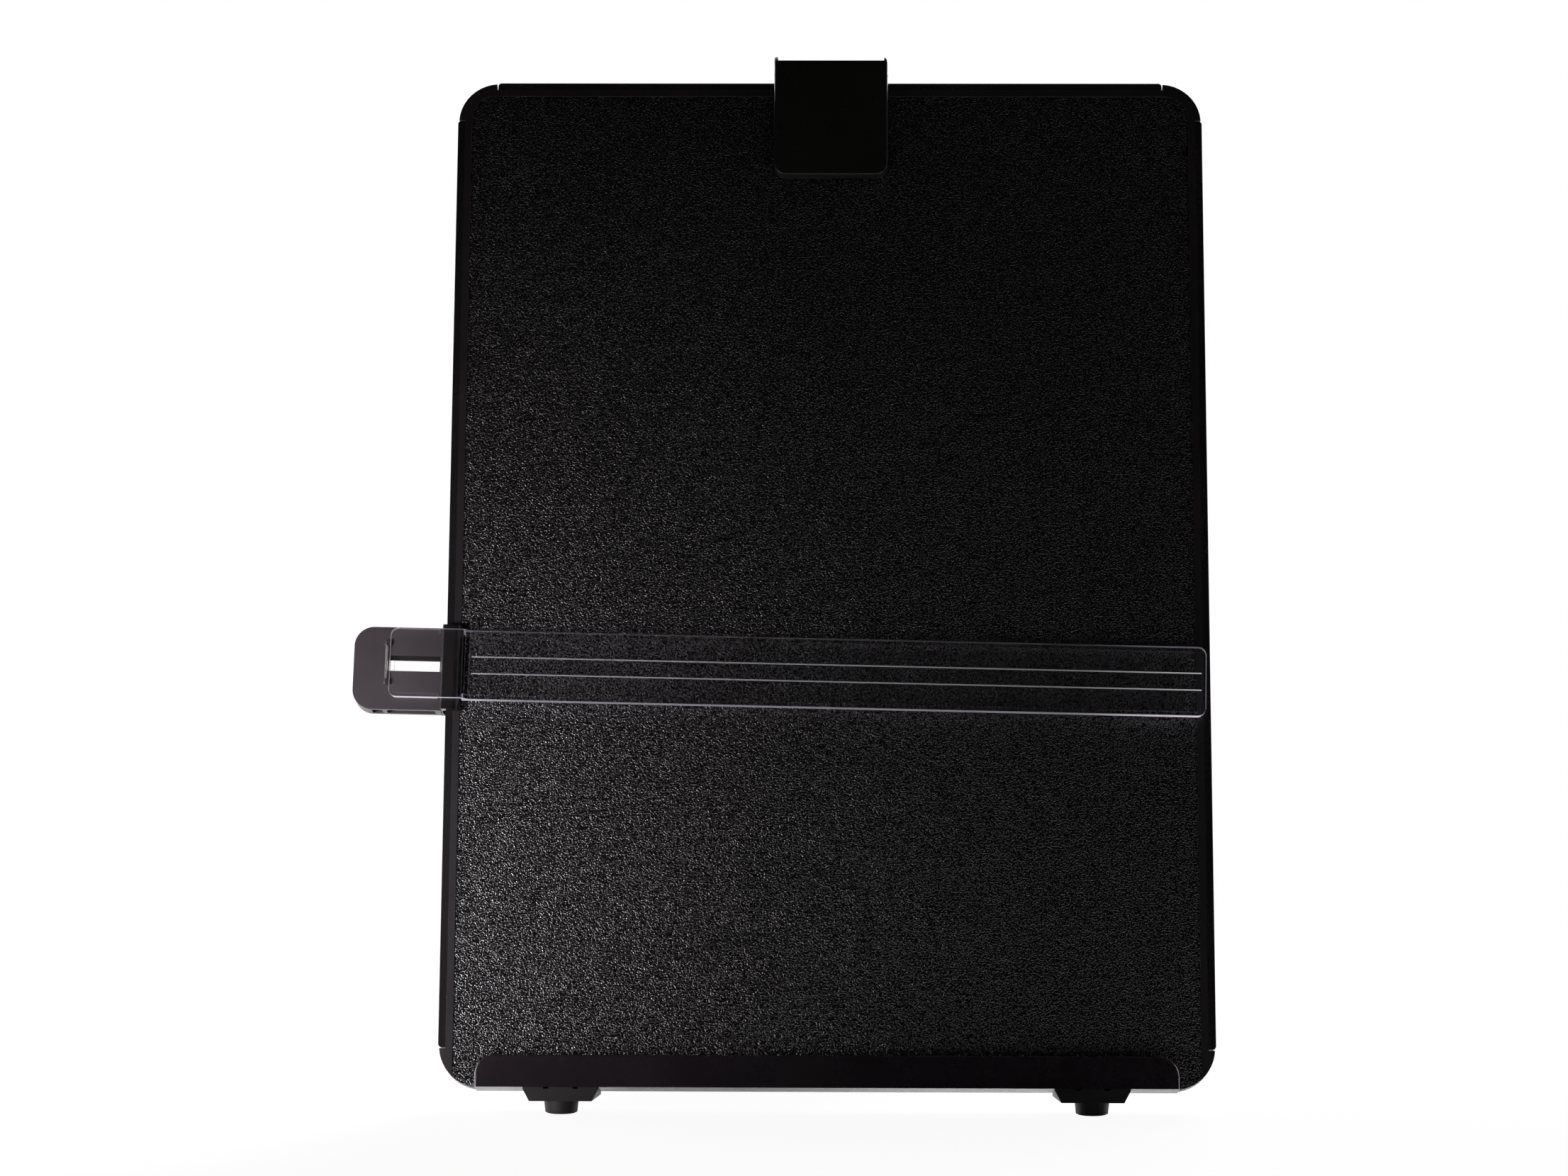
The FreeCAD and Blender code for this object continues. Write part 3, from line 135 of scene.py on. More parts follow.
class Graph:
    """The node tree of a material or of the world, with the one method that adds nodes."""

    def __init__(
        self, owner: bpy.types.Material | bpy.types.World, output: str = "ShaderNodeOutputMaterial"
    ) -> None:
        """Start the owner's tree afresh with only its output node."""
        owner.use_nodes = True
        self.owner = owner
        self.tree = owner.node_tree
        self.tree.nodes.clear()
        self.output = self.tree.nodes.new(output)

    def node(
        self,
        kind: str,
        settings: Mapping[str, object] | None = None,
        inputs: Mapping[str | int, object] | None = None,
        output: str | int = 0,
    ) -> Wire:
        """Add one node.

        Args:
            kind: The node's type.
            settings: Properties of the node, set before its sockets.
            inputs: Values or wires, by the name or number of the socket.
            output: The output that the returned wire reads.

        Returns:
            A wire from the chosen output.
        """
        node = self.tree.nodes.new(kind)
        for name, value in (settings or {}).items():
            setattr(node, name, value)
        for key, value in (inputs or {}).items():
            if isinstance(value, Wire):
                self.tree.links.new(value.socket, node.inputs[key])
            else:
                node.inputs[key].default_value = value
        return Wire(self, node.outputs[output])

    def place(self) -> Wire:
        """Object coordinates."""
        return self.node("ShaderNodeTexCoord", output="Object")

    def coordinate(self, axis: str) -> Wire:
        """One of the object coordinates."""
        return self.node("ShaderNodeSeparateXYZ", {}, {0: self.place()}, axis)

    def ray(self, kind: str) -> Wire:
        """1 for rays of one kind, such as Camera, and 0 for the others."""
        return self.node("ShaderNodeLightPath", output=f"Is {kind} Ray")

    def bent_ray(self) -> Wire:
        """1 for rays that a surface has mirrored or let through, and 0 for the others."""
        return (self.ray("Glossy") + self.ray("Transmission")).smallest(1.0)

    def noise(self, size: float, detail: float = 2.0, rough: float = 0.5, at: Wire | None = None) -> Wire:
        """Noise whose blotches are about one size.

        Args:
            size: Size of the blotches in metres.
            detail: Octaves of finer noise.
            rough: Share of the finer noise.
            at: Coordinates; object coordinates when left out.

        Returns:
            The noise, about 0 to 1.
        """
        inputs = {"Vector": at or self.place(), "Scale": 1 / size, "Detail": detail, "Roughness": rough}
        return self.node("ShaderNodeTexNoise", {}, inputs)

    def bump(self, height: Wire, depth: float, normal: Wire | None = None) -> Wire:
        """A normal that follows a height of 0 to 1.

        Args:
            height: The height.
            depth: Depth of the relief in metres.
            normal: A normal to add to.

        Returns:
            The bumped normal.
        """
        inputs: dict[str | int, object] = {"Height": height, "Distance": depth, "Strength": 1.0}
        if normal:
            inputs["Normal"] = normal
        return self.node("ShaderNodeBump", {}, inputs)

    def mix_colour(self, share: Wire, first: Colour, second: Colour) -> Wire:
        """A colour between two, by a share."""
        settings = {"data_type": "RGBA"}
        return self.node("ShaderNodeMix", settings, {0: share, 6: (*first, 1), 7: (*second, 1)}, 2)

    def uneven_colour(self, share: Wire, colour: Colour) -> Wire:
        """A colour a little darker at a share of 0 and a little lighter at 1."""
        return self.mix_colour(share, shaded(colour, 1 - COLOUR_SWING), shaded(colour, 1 + COLOUR_SWING))

    def principled(self, inputs: Mapping[str | int, object]) -> Wire:
        """The shader that every finish is made of."""
        return self.node("ShaderNodeBsdfPrincipled", {}, inputs)

    def mix_shader(self, share: Wire | float, first: Wire, second: Wire) -> Wire:
        """A shader between two, by a share."""
        return self.node("ShaderNodeMixShader", {}, {0: share, 1: first, 2: second})

    def finish(self, shader: Wire) -> bpy.types.ID:
        """Join a shader to the output and hand the tree's owner over."""
        self.tree.links.new(shader.socket, self.output.inputs["Surface"])
        return self.owner


def shaded(colour: Colour, factor: float) -> Colour:
    """A colour made darker or lighter by a factor."""
    return tuple(part * factor for part in colour)


# ---------------------------------------------------------------- finishes
@dataclass(frozen=True)
class MouldedPlastic:
    """Matte moulded plastic with a fine spark-eroded texture."""

    name: str
    colour: Colour
    roughness: float
    texture: float = 0.28 * MM
    relief: float = 0.012 * MM
    specular: float = 0.5
    index: float = 1.5
    cloud: float = 30 * MM
    rub: float = 4 * MM

    def material(self) -> bpy.types.Material:
        """Build the material."""
        graph = Graph(bpy.data.materials.new(self.name))
        fine = graph.noise(self.texture, 3.0, 0.6)
        cloud = graph.noise(self.cloud, 3.0)
        rubbed = graph.noise(self.rub, 4.0, 0.65).smooth_step(0.55, 0.8)
        return graph.finish(graph.principled({
            "Base Color": graph.uneven_colour(cloud.smooth_step(0.3, 0.7), self.colour),
            "Roughness": self.roughness + cloud.swing(0.08) - rubbed * 0.05 + fine.swing(0.1),
            "Specular IOR Level": self.specular,
            "IOR": self.index,
            "Normal": graph.bump(fine, self.relief),
        }))


@dataclass(frozen=True)
class LeatherGrain:
    """Plastic moulded with a fine leather grain, glossy on its crowns and dull in its creases, which are
    painted darker as shade.
    """

    name: str
    crown: Colour = (0.009, 0.0074, 0.0083)
    # Painted shade: the creases' colour is far darker than the crowns'.
    crease_shade: Colour = (0.0012, 0.001, 0.0011)
    crown_roughness: float = 0.24
    crease_roughness: float = 0.6
    crown_index: float = 1.85
    crease_gloss: float = 0.05
    relief: float = 0.36 * MM
    wrinkle: float = 0.45 * MM
    swell: float = 2.2 * MM
    wear: float = 35 * MM

    def material(self) -> bpy.types.Material:
        """Build the material."""
        graph = Graph(bpy.data.materials.new(self.name))
        wrinkles = graph.noise(self.wrinkle, 1.0, 0.4)
        swell = graph.noise(self.swell, 2.0, 0.5)
        worn = graph.noise(self.wear, 4.0, 0.6)
        normal = graph.bump(wrinkles + swell * 0.2, self.relief)
        low = graph.principled({
            "Base Color": (*self.crease_shade, 1),
            "Roughness": self.crease_roughness,
            "Specular IOR Level": self.crease_gloss,
            "Normal": normal,
        })
        high = graph.principled({
            "Base Color": (*self.crown, 1),
            "Roughness": self.crown_roughness + worn.swing(0.1),
            "IOR": self.crown_index,
            "Normal": normal,
        })
        # The creases take their painted shade by this share.
        raised = (wrinkles + swell.swing(0.12)).smooth_step(0.4, 0.56)
        return graph.finish(graph.mix_shader(raised, low, high))


@dataclass(frozen=True)
class GlossPlastic:
    """Smooth black plastic with a slow waviness in its gloss."""

    name: str
    colour: Colour = (0.0115, 0.0083, 0.0107)
    roughness: float = 0.27
    sink: float = 18 * MM
    sink_depth: float = 0.05 * MM
    haze: float = 3 * MM
    ripple: float = 0.5 * MM
    ripple_depth: float = 0.003 * MM

    def material(self) -> bpy.types.Material:
        """Build the material."""
        graph = Graph(bpy.data.materials.new(self.name))
        sink = graph.noise(self.sink, 1.0)
        haze = graph.noise(self.haze, 5.0, 0.7)
        waves = graph.bump(sink, self.sink_depth)
        return graph.finish(graph.principled({
            "Base Color": graph.uneven_colour(sink, self.colour),
            "Roughness": self.roughness + sink.swing(0.12) + haze.swing(0.1),
            "Normal": graph.bump(graph.noise(self.ripple), self.ripple_depth, waves),
        }))


@dataclass(frozen=True)
class Rubber:
    """Soft black rubber with scattered dusty patches."""

    name: str
    colour: Colour = (0.0085, 0.007, 0.0078)
    dust: Colour = (0.02, 0.0175, 0.0175)
    roughness: float = 0.62
    specular: float = 0.4
    pore: float = 0.2 * MM
    pore_depth: float = 0.02 * MM
    dust_patch: float = 1.5 * MM

    def material(self) -> bpy.types.Material:
        """Build the material."""
        graph = Graph(bpy.data.materials.new(self.name))
        pores = graph.noise(self.pore, 4.0, 0.7)
        dusty = graph.noise(self.dust_patch, 5.0, 0.7).smooth_step(0.5, 0.85)
        return graph.finish(graph.principled({
            "Base Color": graph.mix_colour(dusty * 0.5, self.colour, self.dust),
            "Roughness": self.roughness + pores.swing(0.2),
            "Specular IOR Level": self.specular,
            "Normal": graph.bump(pores, self.pore_depth),
        }))


@dataclass(frozen=True)
class ClearPlastic:
    """Polished clear plastic with faint flow lines and handling marks."""

    name: str
    index: float = ACRYLIC_INDEX
    tint: Colour = ACRYLIC_TINT
    marked: float = 0.93
    mark: float = 1.2 * MM
    flow: float = 25 * MM
    flow_depth: float = 0.006 * MM

    def material(self) -> bpy.types.Material:
        """Build the material."""
        graph = Graph(bpy.data.materials.new(self.name))
        marks = graph.noise(self.mark, 6.0, 0.8).smooth_step(0.62, 0.85)
        flow = graph.noise(self.flow, 1.0)
        return graph.finish(graph.principled({
            "Base Color": graph.mix_colour(marks, self.tint, shaded(self.tint, self.marked)),
            "Roughness": 0.0,
            "IOR": self.index,
            "Transmission Weight": 1.0,
            "Normal": graph.bump(flow, self.flow_depth),
        }))


@dataclass(frozen=True)
class PaintedGlowPlastic:
    """A frosted edge or a scribed line of clear plastic, with a painted glow that stands in for the light
    that it catches.

    The painted glow is least along its middle and most towards its two ends.
    """

    name: str
    frosting: float
    glow: Colour
    dim: float = 0.3
    frost: Colour = (0.25, 0.235, 0.26)
    frost_roughness: float = 0.35
    clear_roughness: float = 0.05
    middle: float = 5 * MM
    plain_half: float = 80 * MM
    full_glow_half: float = 115 * MM
    patch: float = 3 * MM

    def material(self) -> bpy.types.Material:
        """Build the material."""
        graph = Graph(bpy.data.materials.new(self.name))
        uneven = graph.noise(self.patch, 4.0, 0.6).smooth_step(0.2, 0.8)
        along = graph.coordinate("X") - self.middle
        # Painted highlight: the glow rises from the middle towards both ends.
        near_end = (along * along).smooth_step(self.plain_half**2, self.full_glow_half**2)
        glow_share = near_end * (0.8 + uneven * 0.2)
        clear = graph.principled({
            "Base Color": (*ACRYLIC_TINT, 1),
            "Roughness": self.clear_roughness,
            "IOR": ACRYLIC_INDEX,
            "Transmission Weight": 1.0,
        })
        # The frosting's emission is a painted glow that stands in for the light that the edge catches.
        frosted = graph.principled({
            "Base Color": (*self.frost, 1),
            "Roughness": self.frost_roughness + uneven * 0.1,
            "Emission Color": graph.mix_colour(glow_share, shaded(self.glow, self.dim), self.glow),
            "Emission Strength": 1.0,
        })
        return graph.finish(graph.mix_shader(self.frosting, clear, frosted))


@dataclass(frozen=True)
class Steel:
    """Drawn or plated steel with fine scratches along X."""

    name: str
    colour: Colour = (0.62, 0.61, 0.6)
    roughness: float = 0.28
    spots: Colour = (0.45, 0.44, 0.43)
    patch: float = 0.9 * MM
    scratch: float = 0.09 * MM
    scratch_depth: float = 0.006 * MM
    stretch: Point = (0.08, 1.0, 1.0)

    def material(self) -> bpy.types.Material:
        """Build the material."""
        graph = Graph(bpy.data.materials.new(self.name))
        inputs = {"Vector": graph.place(), "Scale": self.stretch}
        stretched = graph.node("ShaderNodeMapping", {"vector_type": "POINT"}, inputs)
        scratch = graph.noise(self.scratch, 2.0, 0.6, stretched)
        patch = graph.noise(self.patch, 4.0, 0.65).smooth_step(0.45, 0.75)
        return graph.finish(graph.principled({
            "Base Color": graph.mix_colour(patch, self.colour, self.spots),
            "Metallic": 1.0,
            "Roughness": self.roughness + scratch.swing(0.2) + patch * 0.08,
            "Normal": graph.bump(scratch, self.scratch_depth),
        }))


class Finish(Enum):
    """Every finish on the object, with the record's slot that it stands for."""

    GRAINED = ("grained_black", LeatherGrain("grained field"))
    BORDER = ("moulded_black", MouldedPlastic("board body", (0.0105, 0.0078, 0.0095), 0.4))
    MOULDED = ("moulded_black", MouldedPlastic("matte moulding", (0.011, 0.0088, 0.0098), 0.44))
    PAD = ("moulded_black", MouldedPlastic("slider moulding", (0.024, 0.0195, 0.0225), 0.46))
    WELL = ("moulded_black", MouldedPlastic("window wall", (0.02, 0.017, 0.019), 0.9, specular=0.02))
    # Painted shade: the slider's channel is a darker copy of the slider's moulding.
    CHANNEL = ("moulded_black", MouldedPlastic("slider channel shade", (0.006, 0.0048, 0.0055), 0.3))
    BURNISHED = ("moulded_black", MouldedPlastic(
        "burnished edge", (0.01, 0.0085, 0.0092), 0.24,
        texture=0.3 * MM, relief=0.002 * MM, specular=1.0, index=1.8,
    ))
    LEVER = ("moulded_black", MouldedPlastic(
        "clip lever", (0.0095, 0.0086, 0.0078), 0.3, texture=0.22 * MM, relief=0.008 * MM, specular=0.35,
    ))
    STRIP = ("slide_strip", MouldedPlastic(
        "slide strip", (0.0085, 0.0078, 0.008), 0.26, texture=0.35 * MM, relief=0.006 * MM,
    ))
    LEDGE = ("smooth_black", GlossPlastic("smooth ledge"))
    RUBBER = ("foot_rubber", Rubber("foot rubber"))
    CLEAR = ("clear_plastic", ClearPlastic("clear guide"))
    # A low index keeps the guide's own recesses from mirroring the white surroundings.
    CLEAR_INSIDE = ("clear_plastic", ClearPlastic("guide recess", index=1.1, tint=(1.0, 1.0, 1.0)))
    # The guide's edges and scribed lines carry a painted glow for the light that they catch: painted bright
    # on the lower edge, and faint with darker frosting on the upper edge.
    UPPER_EDGE = ("clear_plastic", PaintedGlowPlastic(
        "guide upper edge", 0.45, (0.2, 0.18, 0.22), dim=0.1, frost=(0.12, 0.11, 0.13),
    ))
    LOWER_EDGE = ("clear_plastic", PaintedGlowPlastic(
        "guide lower edge", 0.9, (0.6, 0.55, 0.64), dim=0.22,
    ))
    CLEAR_EDGE = ("clear_plastic", PaintedGlowPlastic("guide edge", 0.5, (0.32, 0.29, 0.35)))
    SCRIBED = ("clear_plastic", PaintedGlowPlastic("scribed line", 0.85, (0.36, 0.36, 0.38), dim=0.36))
    ZINC = ("zinc_steel", Steel("zinc plated steel"))
    SPRING = ("spring_steel", Steel("spring steel", (0.42, 0.42, 0.43), 0.22, spots=(0.3, 0.29, 0.29)))

    @property
    def slot(self) -> str:
        """The record's material slot."""
        return self.value[0]

    def material(self) -> bpy.types.Material:
        """The finish's material, built at its first use."""
        recipe = self.value[1]
        return bpy.data.materials.get(recipe.name) or recipe.material()


# ---------------------------------------------------------------- places
def turned(degrees: float, axis: str) -> Matrix:
    """A turn about a main axis."""
    return Matrix.Rotation(math.radians(degrees), 4, axis)


@dataclass(frozen=True)
class Seats:
    """Where each sub-assembly's own axes lie in the model."""

    lean: float = 14.5
    droop: float = 1.2
    corner: Point = (14.076 * MM, -48.3069 * MM, 7.0 * MM)
    board_height: float = 315 * MM
    half_width: float = 116 * MM
    slider_rest: float = 127.6 * MM
    clip_rest: float = 0.45 * MM
    clip_pin: Point = (0.0, 3.6 * MM, 4.0 * MM)
    easel_pin: Point = (14.076 * MM, 16.8755 * MM, 209.1175 * MM)

    @property
    def board(self) -> Matrix:
        """X right, Y from the grained face to the back, Z up the board."""
        return Matrix.Translation(self.corner) @ turned(-self.lean, "X")

    @property
    def clip(self) -> Matrix:
        """The board's axes at its top edge."""
        return self.board @ Matrix.Translation((self.clip_rest, 0, self.board_height))

    @property
    def pin(self) -> Matrix:
        """The board's axes at the clip's pin."""
        return self.clip @ Matrix.Translation(self.clip_pin)

    @property
    def slider(self) -> Matrix:
        """The slider's axes at the left edge, with its droop."""
        edge = Matrix.Translation((-self.half_width, 0, self.slider_rest))
        return self.board @ edge @ turned(self.droop, "Y")

    @property
    def hinge(self) -> Matrix:
        """The board's axes at the easel pin."""
        return Matrix.Translation(self.easel_pin) @ turned(-self.lean, "X")


SEATS = Seats()


# ---------------------------------------------------------------- shaping
@dataclass(frozen=True)
class Shaper:
    """Turns bmesh work into finished pieces that ride on a body."""

    body: str
    smooth_below: float = 38.0
    shading_weight: int = 80
    weld: float = 0.002 * MM
    flat_within: float = 0.4
    round_above: float = 28.0
    most_sides: int = 24
    sliver: float = 0.004 * MM

    def piece(
        self,
        name: str,
        shape: bmesh.types.BMesh,
        finishes: Finish | Sequence[Finish],
        nodes: Sequence[str],
        seat: Matrix | None = None,
    ) -> bpy.types.Object:
        """Make a shape a piece of the object.

        Args:
            name: Name of the piece.
            shape: Its mesh, which is freed.
            finishes: Its finish, or one for each material number.
            nodes: The CAD nodes that it stands for.
            seat: The axes that it was drawn in; the model's when left out.

        Returns:
            The piece.
        """
        mesh = bpy.data.meshes.new(name)
        if seat:
            shape.transform(seat)
        for edge in shape.edges:
            edge.smooth = not edge.is_manifold or edge.calc_face_angle(0.0) < math.radians(self.smooth_below)
        worn = [finishes] if isinstance(finishes, Finish) else list(finishes)
        for face in shape.faces:
            face.smooth = True
            face.material_index = min(face.material_index, len(worn) - 1)
        shape.to_mesh(mesh)
        shape.free()
        for finish in worn:
            mesh.materials.append(finish.material())
        item = bpy.data.objects.new(name, mesh)
        bpy.context.scene.collection.objects.link(item)
        flatten = item.modifiers.new("even shading", "WEIGHTED_NORMAL")
        flatten.keep_sharp = True
        flatten.weight = self.shading_weight
        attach(item, self.body)
        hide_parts(*nodes)
        log.info("%s: %d faces on %s", name, len(mesh.polygons), self.body)
        return item

    def softened(
        self,
        node: str,
        radius: float,
        segments: int = 2,
        skip: Callable[[bmesh.types.BMEdge], bool] | None = None,
        reshape: Callable[[bmesh.types.BMesh], None] | None = None,
    ) -> bmesh.types.BMesh:
        """A node's shape with its sharp edges rounded, as a mould leaves them.

        Args:
            node: The CAD node.
            radius: Width of the rounding.
            segments: Steps across the rounding.
            skip: Picks edges to leave sharp.
            reshape: Changes the shape before its edges are rounded.

        Returns:
            The shape in the model's axes, its faces numbered as plain or as rounded edges.
        """
        shape = bmesh.new()
        shape.from_mesh(bpy.data.objects[node].data)
        bmesh.ops.remove_doubles(shape, verts=shape.verts[:], dist=self.weld)
        bmesh.ops.dissolve_limit(
            shape, angle_limit=math.radians(self.flat_within), verts=shape.verts[:], edges=shape.edges[:],
            use_dissolve_boundaries=False,
        )
        if reshape:
            reshape(shape)
        # A flat face with very many corners can fold over itself once its edges are rounded.
        crowded = [face for face in shape.faces if len(face.verts) > self.most_sides]
        bmesh.ops.triangulate(shape, faces=crowded)
        sharp = [
            edge for edge in shape.edges
            if edge.is_manifold
            and edge.calc_face_angle(0.0) > math.radians(self.round_above)
            and not (skip and skip(edge))
        ]
        rounded = bmesh.ops.bevel(
            shape, geom=sharp, offset=radius, offset_type="OFFSET", segments=segments, profile=0.5,
            affect="EDGES", clamp_overlap=True, material=-1, miter_outer="ARC",
        )
        for face in rounded["faces"]:
            face.material_index = ROUNDED_EDGE
        bmesh.ops.dissolve_degenerate(shape, dist=self.sliver, edges=shape.edges)
        return shape

    def moulded(self, name: str, node: str, radius: float, finish: Finish) -> bpy.types.Object:
        """A moulded piece shaped after one node, its rounded edges burnished."""
        shape = self.softened(node, radius, segments=3)
        return self.piece(name, shape, [finish, Finish.BURNISHED], [node])


def revolved(profile: Sequence[Span], steps: int, angle: float = math.tau) -> bmesh.types.BMesh:
    """A profile of (distance along X, radius) turned about the X axis.

    Args:
        profile: Points from one end to the other.
        steps: Steps round the turn.
        angle: How far it turns; a full turn is closed.

    Returns:
        The turned shape.
    """
    shape = bmesh.new()
    points = [shape.verts.new((along, 0.0, radius)) for along, radius in profile]
    edges = [shape.edges.new(pair) for pair in zip(points, points[1:])]
    bmesh.ops.spin(
        shape, geom=points + edges, cent=(0, 0, 0), axis=(1, 0, 0), angle=angle, steps=steps,
        use_merge=angle == math.tau, use_duplicate=False,
    )
    bmesh.ops.remove_doubles(shape, verts=shape.verts[:], dist=SEAM)
    if angle < math.tau:
        bmesh.ops.holes_fill(shape, edges=[edge for edge in shape.edges if edge.is_boundary])
    bmesh.ops.recalc_face_normals(shape, faces=shape.faces[:])
    return shape


def joined(shapes: Sequence[bmesh.types.BMesh]) -> bmesh.types.BMesh:
    """Several shapes as one, the originals freed."""
    whole = bmesh.new()
    for shape in shapes:
        mesh = bpy.data.meshes.new("part")
        shape.to_mesh(mesh)
        shape.free()
        whole.from_mesh(mesh)
        bpy.data.meshes.remove(mesh)
    return whole


def edges_between(
    items: Sequence[bmesh.types.BMVert | bmesh.types.BMEdge], ends: Sequence[bmesh.types.BMVert]
) -> list[bmesh.types.BMEdge]:
    """The edges among some items whose two ends are both among the given corners."""
    edges = [item for item in items if isinstance(item, bmesh.types.BMEdge)]
    return [edge for edge in edges if all(corner in ends for corner in edge.verts)]


@dataclass(frozen=True)
class RoundPin:
    """A round steel pin along X with chamfered ends."""

    radius: float
    half_length: float
    chamfer: float = 0.25 * MM
    steps: int = 32

    def shape(self) -> bmesh.types.BMesh:
        """The pin about its own middle."""
        end, land = self.half_length, self.half_length - self.chamfer
        inner = self.radius - self.chamfer
        half = [(land, self.radius), (end, inner), (end, 0.0)]
        return revolved([(-along, radius) for along, radius in reversed(half)] + half, self.steps)


@dataclass(frozen=True)
class PanHeadScrew:
    """A pan-head screw with a cross recess, its head up and its seat at zero."""

    shank: float = 1.1 * MM
    tip: float = 0.66 * MM
    length: float = 5.2 * MM
    head: float = 2.1 * MM
    wall: float = 0.585 * MM
    shoulder: float = 1.806 * MM
    shoulder_height: float = 1.04 * MM
    rise: float = 1.3 * MM
    crown: float = 1.17 * MM
    slot_width: float = 0.5 * MM
    slot_length: float = 1.9 * MM
    slot_depth: float = 0.7 * MM
    slot_taper: float = 0.7
    steps: int = 32

    def cross(self, shape: bmesh.types.BMesh) -> list[bmesh.types.BMEdge]:
        """Draw the recess in the head's top and sink it.

        Args:
            shape: The screw so far.

        Returns:
            The recess's edges at the top.
        """
        near, far = self.slot_width / 2, self.slot_length / 2
        quarter = [(far, -near), (far, near), (near, near)]
        points = []
        for turn in range(4):
            facing = Matrix.Rotation(turn * math.pi / 2, 2)
            points += [shape.verts.new((*(facing @ Vector(point)), self.rise)) for point in quarter]
        outline = [shape.edges.new(pair) for pair in zip(points, points[1:] + points[:1])]
        sunk = bmesh.ops.extrude_edge_only(shape, edges=outline)["geom"]
        lower = [item for item in sunk if isinstance(item, bmesh.types.BMVert)]
        bmesh.ops.translate(shape, verts=lower, vec=(0, 0, -self.slot_depth))
        bmesh.ops.scale(shape, verts=lower, vec=(self.slot_taper, self.slot_taper, 1.0))
        bmesh.ops.contextual_create(shape, geom=edges_between(sunk, lower))
        return outline

    def shape(self) -> bmesh.types.BMesh:
        """The screw about its seat."""
        profile = [
            (-self.length, 0.0), (-self.length, self.tip), (-self.length + self.shank, self.shank),
            (0.0, self.shank), (0.0, self.head), (self.wall, self.head),
            (self.shoulder_height, self.shoulder), (self.rise, self.crown),
        ]
        shape = revolved(profile, self.steps)
        shape.transform(turned(-90, "Y"))
        rim = [edge for edge in shape.edges if edge.is_boundary]
        bmesh.ops.bridge_loops(shape, edges=rim + self.cross(shape))
        bmesh.ops.recalc_face_normals(shape, faces=shape.faces[:])
        return shape


def driven_screws(places: Sequence[Span], surface: float) -> bmesh.types.BMesh:
    """Screws driven from behind at (x, z) places of the board, each turned its own way.

    Args:
        places: Where they stand.
        surface: Depth of the surface under their heads.

    Returns:
        The screws in the board's axes.
    """
    screws = []
    for number, (x, z) in enumerate(places):
        screw = PanHeadScrew().shape()
        seat = Matrix.Translation((x, surface, z)) @ turned(-90, "X")
        screw.transform(seat @ turned(SCREW_TURN * number, "Z"))
        screws.append(screw)
    return joined(screws)


# ---------------------------------------------------------------- sub-assemblies
@dataclass(frozen=True)
class LeaningBoard:
    """The grained panel with its strips, ledge, brackets and feet."""

    shaper: Shaper = Shaper("board")
    panel_round: float = 0.3 * MM
    strip_round: float = 0.45 * MM
    ledge_round: float = 0.35 * MM
    wedge_round: float = 0.4 * MM
    foot_round: float = 0.3 * MM
    field_step: float = 0.25 * MM
    level_slack: float = 0.02 * MM
    field_facing: float = 0.99
    screw_surface: float = 8.0 * MM
    screw_height: float = 14.0 * MM
    foot_spacing: float = 158.0 * MM
    screw_spacing: float = 14.0 * MM

    def build(self) -> None:
        """Shape and dress every piece."""
        self.panel()
        for node in ("side_rail_left", "side_rail_right", "top_rail"):
            self.shaper.moulded(f"{node}_strip", node, self.strip_round, Finish.STRIP)
        self.shaper.moulded("sheet_ledge", "document_ledge", self.ledge_round, Finish.LEDGE)
        for side in ("left", "right"):
            wedge = f"foot_bracket_{side}"
            self.shaper.moulded(f"{side}_foot_wedge", wedge, self.wedge_round, Finish.MOULDED)
            foot = self.shaper.softened(f"rubber_foot_{side}", self.foot_round, segments=3)
            self.shaper.piece(f"{side}_foot_plug", foot, Finish.RUBBER, [f"rubber_foot_{side}"])
        self.screws()

    def panel(self) -> None:
        """The panel, its sunk field grained and the rest plain."""
        finishes = [Finish.BORDER, Finish.BURNISHED, Finish.GRAINED]
        shape = self.shaper.softened("board_panel", self.panel_round, segments=3, reshape=self.sink_field)
        to_board = SEATS.board.inverted()
        facing = to_board.to_3x3()
        for face in shape.faces:
            on_field = abs((to_board @ face.calc_center_median()).y - 2 * self.field_step) < self.level_slack
            if on_field and (facing @ face.normal).y < -self.field_facing:
                face.material_index = finishes.index(Finish.GRAINED)
        self.shaper.piece("grained_panel", shape, finishes, ["board_panel"])

    def sink_field(self, shape: bmesh.types.BMesh) -> None:
        """Move the field from a step in front of the border to a step behind it."""
        to_board = SEATS.board.inverted()
        backwards = SEATS.board.to_3x3() @ Vector((0, 2 * self.field_step, 0))
        for corner in shape.verts:
            if abs((to_board @ corner.co).y) < self.level_slack:
                corner.co += backwards
        shape.normal_update()

    def screws(self) -> None:
        """The bracket screws, driven from behind."""
        places = [
            (foot * self.foot_spacing / 2 + side * self.screw_spacing / 2, self.screw_height)
            for foot in (-1, 1)
            for side in (-1, 1)
        ]
        driven = driven_screws(places, self.screw_surface)
        self.shaper.piece("bracket_screws", driven, Finish.ZINC, ["foot_bracket_screws"], SEATS.board)


